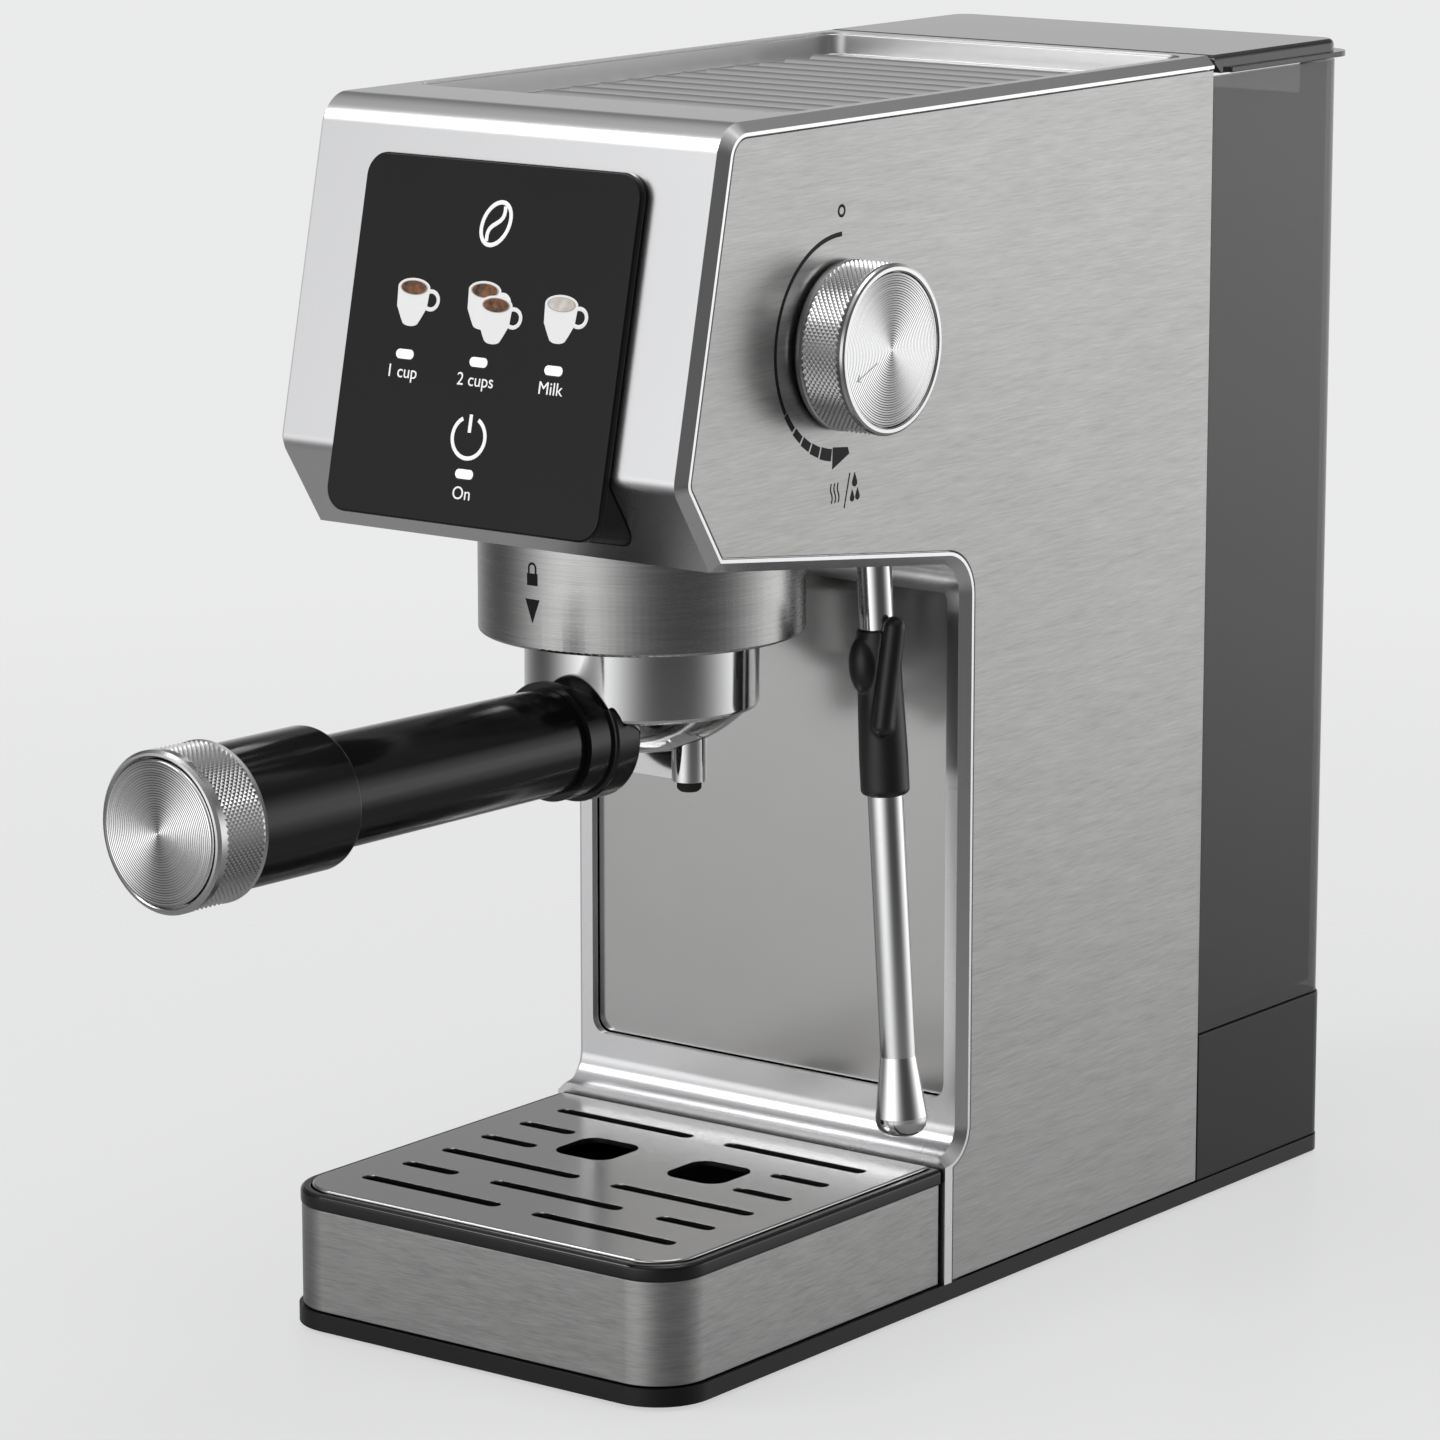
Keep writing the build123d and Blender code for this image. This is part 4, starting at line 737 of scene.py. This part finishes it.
def side_marks():
    """The knob's scale on the right side: off, a swelling arc with an arrow, steam and water."""
    low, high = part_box("side_panel_right")
    centre = centre_of("knob_body")
    surface = frame_along((high.x, centre.y, centre.z), (1, 0, 0))
    radius = 26.8 * MM
    marks = [
        strokes([arc(1.25 * MM, 0, 360, 32, (-0.2 * MM, 32.4 * MM))], 0.75 * MM),
        strokes([arc(radius, 90, 212, 60)], 1.15 * MM),
    ]
    # the arc swells over its last stretch, in blocks with thin gaps between them
    stops = [212, 224, 233, 242, 251, 262]
    gap = 0.7
    for first, last in zip(stops, stops[1:]):
        start, end = first + gap, last - gap
        thick = [(0.6 + 1.1 * (angle - 205) / 57) * MM for angle in (start, end)]
        outer = arc(radius + thick[0], start, end, 6)
        inner = arc(radius - thick[0], end, start, 6)
        marks.append(patch(outer + inner))
    marks.append(patch([
        polar(radius * 1.13, 263), polar(radius + 0.4 * MM, 277),
        polar(radius * 0.95, 276), polar(radius * 0.93, 262),
    ]))
    # steam: three rising wisps; water: three drops; a stroke between them
    base, line_width, steps = -36.0 * MM, 0.55 * MM, 8
    for shift in (-1.4, 0.0, 1.4):
        wisp = [
            ((-2.6 + shift + 0.35 * sin(step / steps * 2 * pi)) * MM,
             base + (-2.4 + 4.8 * step / steps) * MM)
            for step in range(steps + 1)
        ]
        marks.append(strokes([wisp], line_width))
    marks.append(strokes([[(1.3 * MM, base - 4.2 * MM), (3.6 * MM, base + 4.2 * MM)]], line_width))
    drop = [(0, 2.2 * MM)] + arc(1.05 * MM, 30, -210, 16, (0, -0.4 * MM))
    for x, y, size in ((5.6, 2.0, 1.0), (4.6, -1.8, 0.85), (6.8, -1.6, 0.85)):
        bm = patch([(px * size, py * size) for px, py in drop])
        marks.append(shifted(bm, x * MM, base + y * MM))
    bm = joined(*marks)
    bm.transform(surface)
    finished("side_scale", bm, "machine", "brushed_steel", black_print)


def ring_marks():
    """The lock mark on the group ring, wrapped round it."""
    low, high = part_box("group_ring")
    centre = centre_of("group_ring")
    radius = (high.x - low.x) / 2
    half, leg, lock_height = 1.7 * MM, 1.1 * MM, 16.2 * MM
    body = patch([(-half, 0), (half, 0), (half, 3.0 * MM), (-half, 3.0 * MM)])
    bow = arc(leg, 180, 0, 12, (0, 4.4 * MM))
    shackle = strokes([[(-leg, 2.6 * MM), (-leg, 4.4 * MM)] + bow + [(leg, 2.6 * MM)]], 0.6 * MM)
    pointer = patch([(-2.3 * MM, 4.8 * MM), (0, -1.2 * MM), (2.3 * MM, 4.8 * MM)])
    bm = joined(
        shifted(body, 0, lock_height), shifted(shackle, 0, lock_height), shifted(pointer, 0, 8.0 * MM),
    )
    bmesh.ops.subdivide_edges(bm, edges=bm.edges, cuts=1, use_grid_fill=True)
    left = radians(3.0)
    for vert in bm.verts:
        turn = vert.co.x / radius - left
        reach = radius + vert.co.z
        vert.co = (centre.x + reach * sin(turn), centre.y - reach * cos(turn), low.z + vert.co.y)
    bmesh.ops.recalc_face_normals(bm, faces=bm.faces)
    finished("ring_marks", bm, "machine", "brushed_ring", black_print)


# ---------------------------------------------------------------- steam wand's grip
def wand_sleeve():
    """The rubber grip: a sleeve that thickens to the foot, a pad and a long bar for the thumb."""
    hinge = next(joint for joint in frame["joints"] if joint["name"] == "wand_tilt")
    ball = Vector(hinge["pos_m"])
    lean = radians(3.8)
    axis = Vector((sin(lean), 0, -cos(lean)))
    front = Vector((0, -1, 0))
    matrix = frame_along(ball, axis, front)         # local Z runs down the wand, local Y to the front
    start, end = 19.0 * MM, 62.8 * MM               # down the wand from the middle of its ball
    profile = [
        (4.42 * MM, start + 1.5 * MM), (5.2 * MM, start + 1.8 * MM), (5.6 * MM, start + 4 * MM),
        (5.7 * MM, start + 16 * MM), (6.0 * MM, start + 26 * MM), (6.2 * MM, start + 34 * MM),
        (6.2 * MM, end - 0.9 * MM), (5.4 * MM, end), (4.6 * MM, end),
    ]
    sleeve = spun(profile, 48, True)
    pad = bmesh.new()
    bmesh.ops.create_uvsphere(pad, u_segments=32, v_segments=20, radius=1.0)
    bmesh.ops.scale(pad, vec=(3.9 * MM, 3.2 * MM, 7.4 * MM), verts=pad.verts)
    shifted(pad, -1.6 * MM, 4.6 * MM, start + 10.5 * MM)
    # the thumb bar runs down the right front of the sleeve, a little aslant
    bar_r, bar_half = 2.8 * MM, 15.3 * MM
    upper = Vector((6.4 * MM, 1.6 * MM, start + 0.8 * MM))
    lower = Vector((3.6 * MM, 4.8 * MM, start + 25.6 * MM))
    bar = bmesh.new()
    bmesh.ops.create_uvsphere(bar, u_segments=32, v_segments=25, radius=bar_r)
    for vert in bar.verts:
        vert.co.z += (bar_half - bar_r) * (1 if vert.co.z > 0 else -1)
    bar.transform(frame_along((upper + lower) / 2, lower - upper, (1, 0, 0)))
    bm = joined(sleeve, pad, bar)
    bm.transform(matrix)
    rubber = moulded_plastic("grip_rubber", (0.014, 0.014, 0.014), 0.34, depth=0.006)
    piece = finished("wand_sleeve", bm, "steam_wand", "black_rubber", rubber, ["wand_grip"])
    remesh = piece.modifiers.new("one_skin", "REMESH")
    remesh.mode = "VOXEL"
    remesh.voxel_size = 0.32 * MM
    remesh.use_smooth_shade = True
    smooth = piece.modifiers.new("soften", "SMOOTH")
    smooth.factor = 0.5
    smooth.iterations = 6


knob()
handle_end()
control_marks()
side_marks()
ring_marks()
wand_sleeve()


# ---------------------------------------------------------------- floor, light and camera
def studio():
    """A pale floor that fades out, a bright wall at the left front and the right back, two soft lamps."""
    fade_start, fade_end, floor_alpha = 0.30, 0.95, 0.30
    bm = bmesh.new()
    bmesh.ops.create_circle(bm, cap_ends=True, segments=96, radius=fade_end)
    mesh = bpy.data.meshes.new("floor")
    bm.to_mesh(mesh)
    bm.free()
    floor = bpy.data.objects.new("floor", mesh)
    bpy.context.scene.collection.objects.link(floor)
    pale = Finish("floor_paint", (0.93, 0.932, 0.935), 0.3)
    pale.set(Roughness=pale.noise(pale.place(), scale=6.0) * 0.06 + 0.27)
    away = pale.node("ShaderNodeVectorMath", {"operation": "LENGTH"}, {0: pale.place()}, output="Value")
    fade = (fade_end - away) * (floor_alpha / (fade_end - fade_start))
    pale.set(Alpha=fade.clamp(high=floor_alpha))
    paint(floor, pale.material)

    world = bpy.data.worlds.new("surround")
    world.use_nodes = True
    bpy.context.scene.world = world
    sky = Nodes(world.node_tree)
    direction = sky.node("ShaderNodeTexCoord", output="Generated")

    def facing(towards):
        unit = tuple(Vector(towards).normalized())
        sockets = {0: direction, 1: unit}
        return sky.node("ShaderNodeVectorMath", {"operation": "DOT_PRODUCT"}, sockets, output="Value")

    def wall(azimuth, tightness):
        """A wall that falls from 1 in one level direction to 0 away from it."""
        turn = radians(azimuth)
        return facing((cos(turn), sin(turn), 0)).clamp() ** tightness

    dark, ceiling, backdrop = 0.07, 0.8, 0.83
    up = facing((0, 0, 1))
    below_front_top = ((0.62 - up) * 2.4).clamp()
    below_back_top = ((0.42 - up) * 3.0).clamp()
    above_floor = ((up + 0.42) * 3.2).clamp()
    front = wall(-102, 5.0) * below_front_top * 1.75
    back = (wall(66, 4.0) * 1.75 + wall(135, 6.0) * 0.65) * below_back_top
    light = dark + (front + back) * above_floor + (up.clamp() ** 3.0) * ceiling
    seen = sky.node("ShaderNodeLightPath", output="Is Camera Ray")
    background = world.node_tree.nodes["Background"]
    background.inputs["Color"].default_value = (0.995, 0.998, 1.0, 1.0)
    sky.feed(background.inputs["Strength"], light * (1 - seen) + seen * backdrop)

    middle = Vector((0, 0, 0.16))
    for name, place, size, power in (
        ("left_lamp", (-1.0, -1.3, 1.5), 0.8, 12.0),
        ("top_lamp", (0.2, 0.2, 1.9), 1.0, 8.0),
    ):
        lamp = bpy.data.lights.new(name, "AREA")
        lamp.size = size
        lamp.energy = power
        holder = bpy.data.objects.new(name, lamp)
        holder.location = place
        holder.rotation_mode = "QUATERNION"
        holder.rotation_quaternion = (middle - Vector(place)).to_track_quat("-Z", "Y")
        bpy.context.scene.collection.objects.link(holder)


def camera():
    azimuth, elevation = radians(37.14), radians(11.75)
    aim = Vector((-0.0350, 0.0, 0.1350))
    distance, focal_length = 1.6071, 151.56
    back = Vector((sin(azimuth) * cos(elevation), -cos(azimuth) * cos(elevation), sin(elevation)))
    lens = bpy.data.cameras.new("camera")
    lens.lens = focal_length
    lens.sensor_width = 36.0
    holder = bpy.data.objects.new("camera", lens)
    holder.location = aim + back * distance
    holder.rotation_mode = "QUATERNION"
    holder.rotation_quaternion = (-back).to_track_quat("-Z", "Y")
    bpy.context.scene.collection.objects.link(holder)
    bpy.context.scene.camera = holder


studio()
camera()
bpy.context.scene.view_settings.view_transform = "Standard"
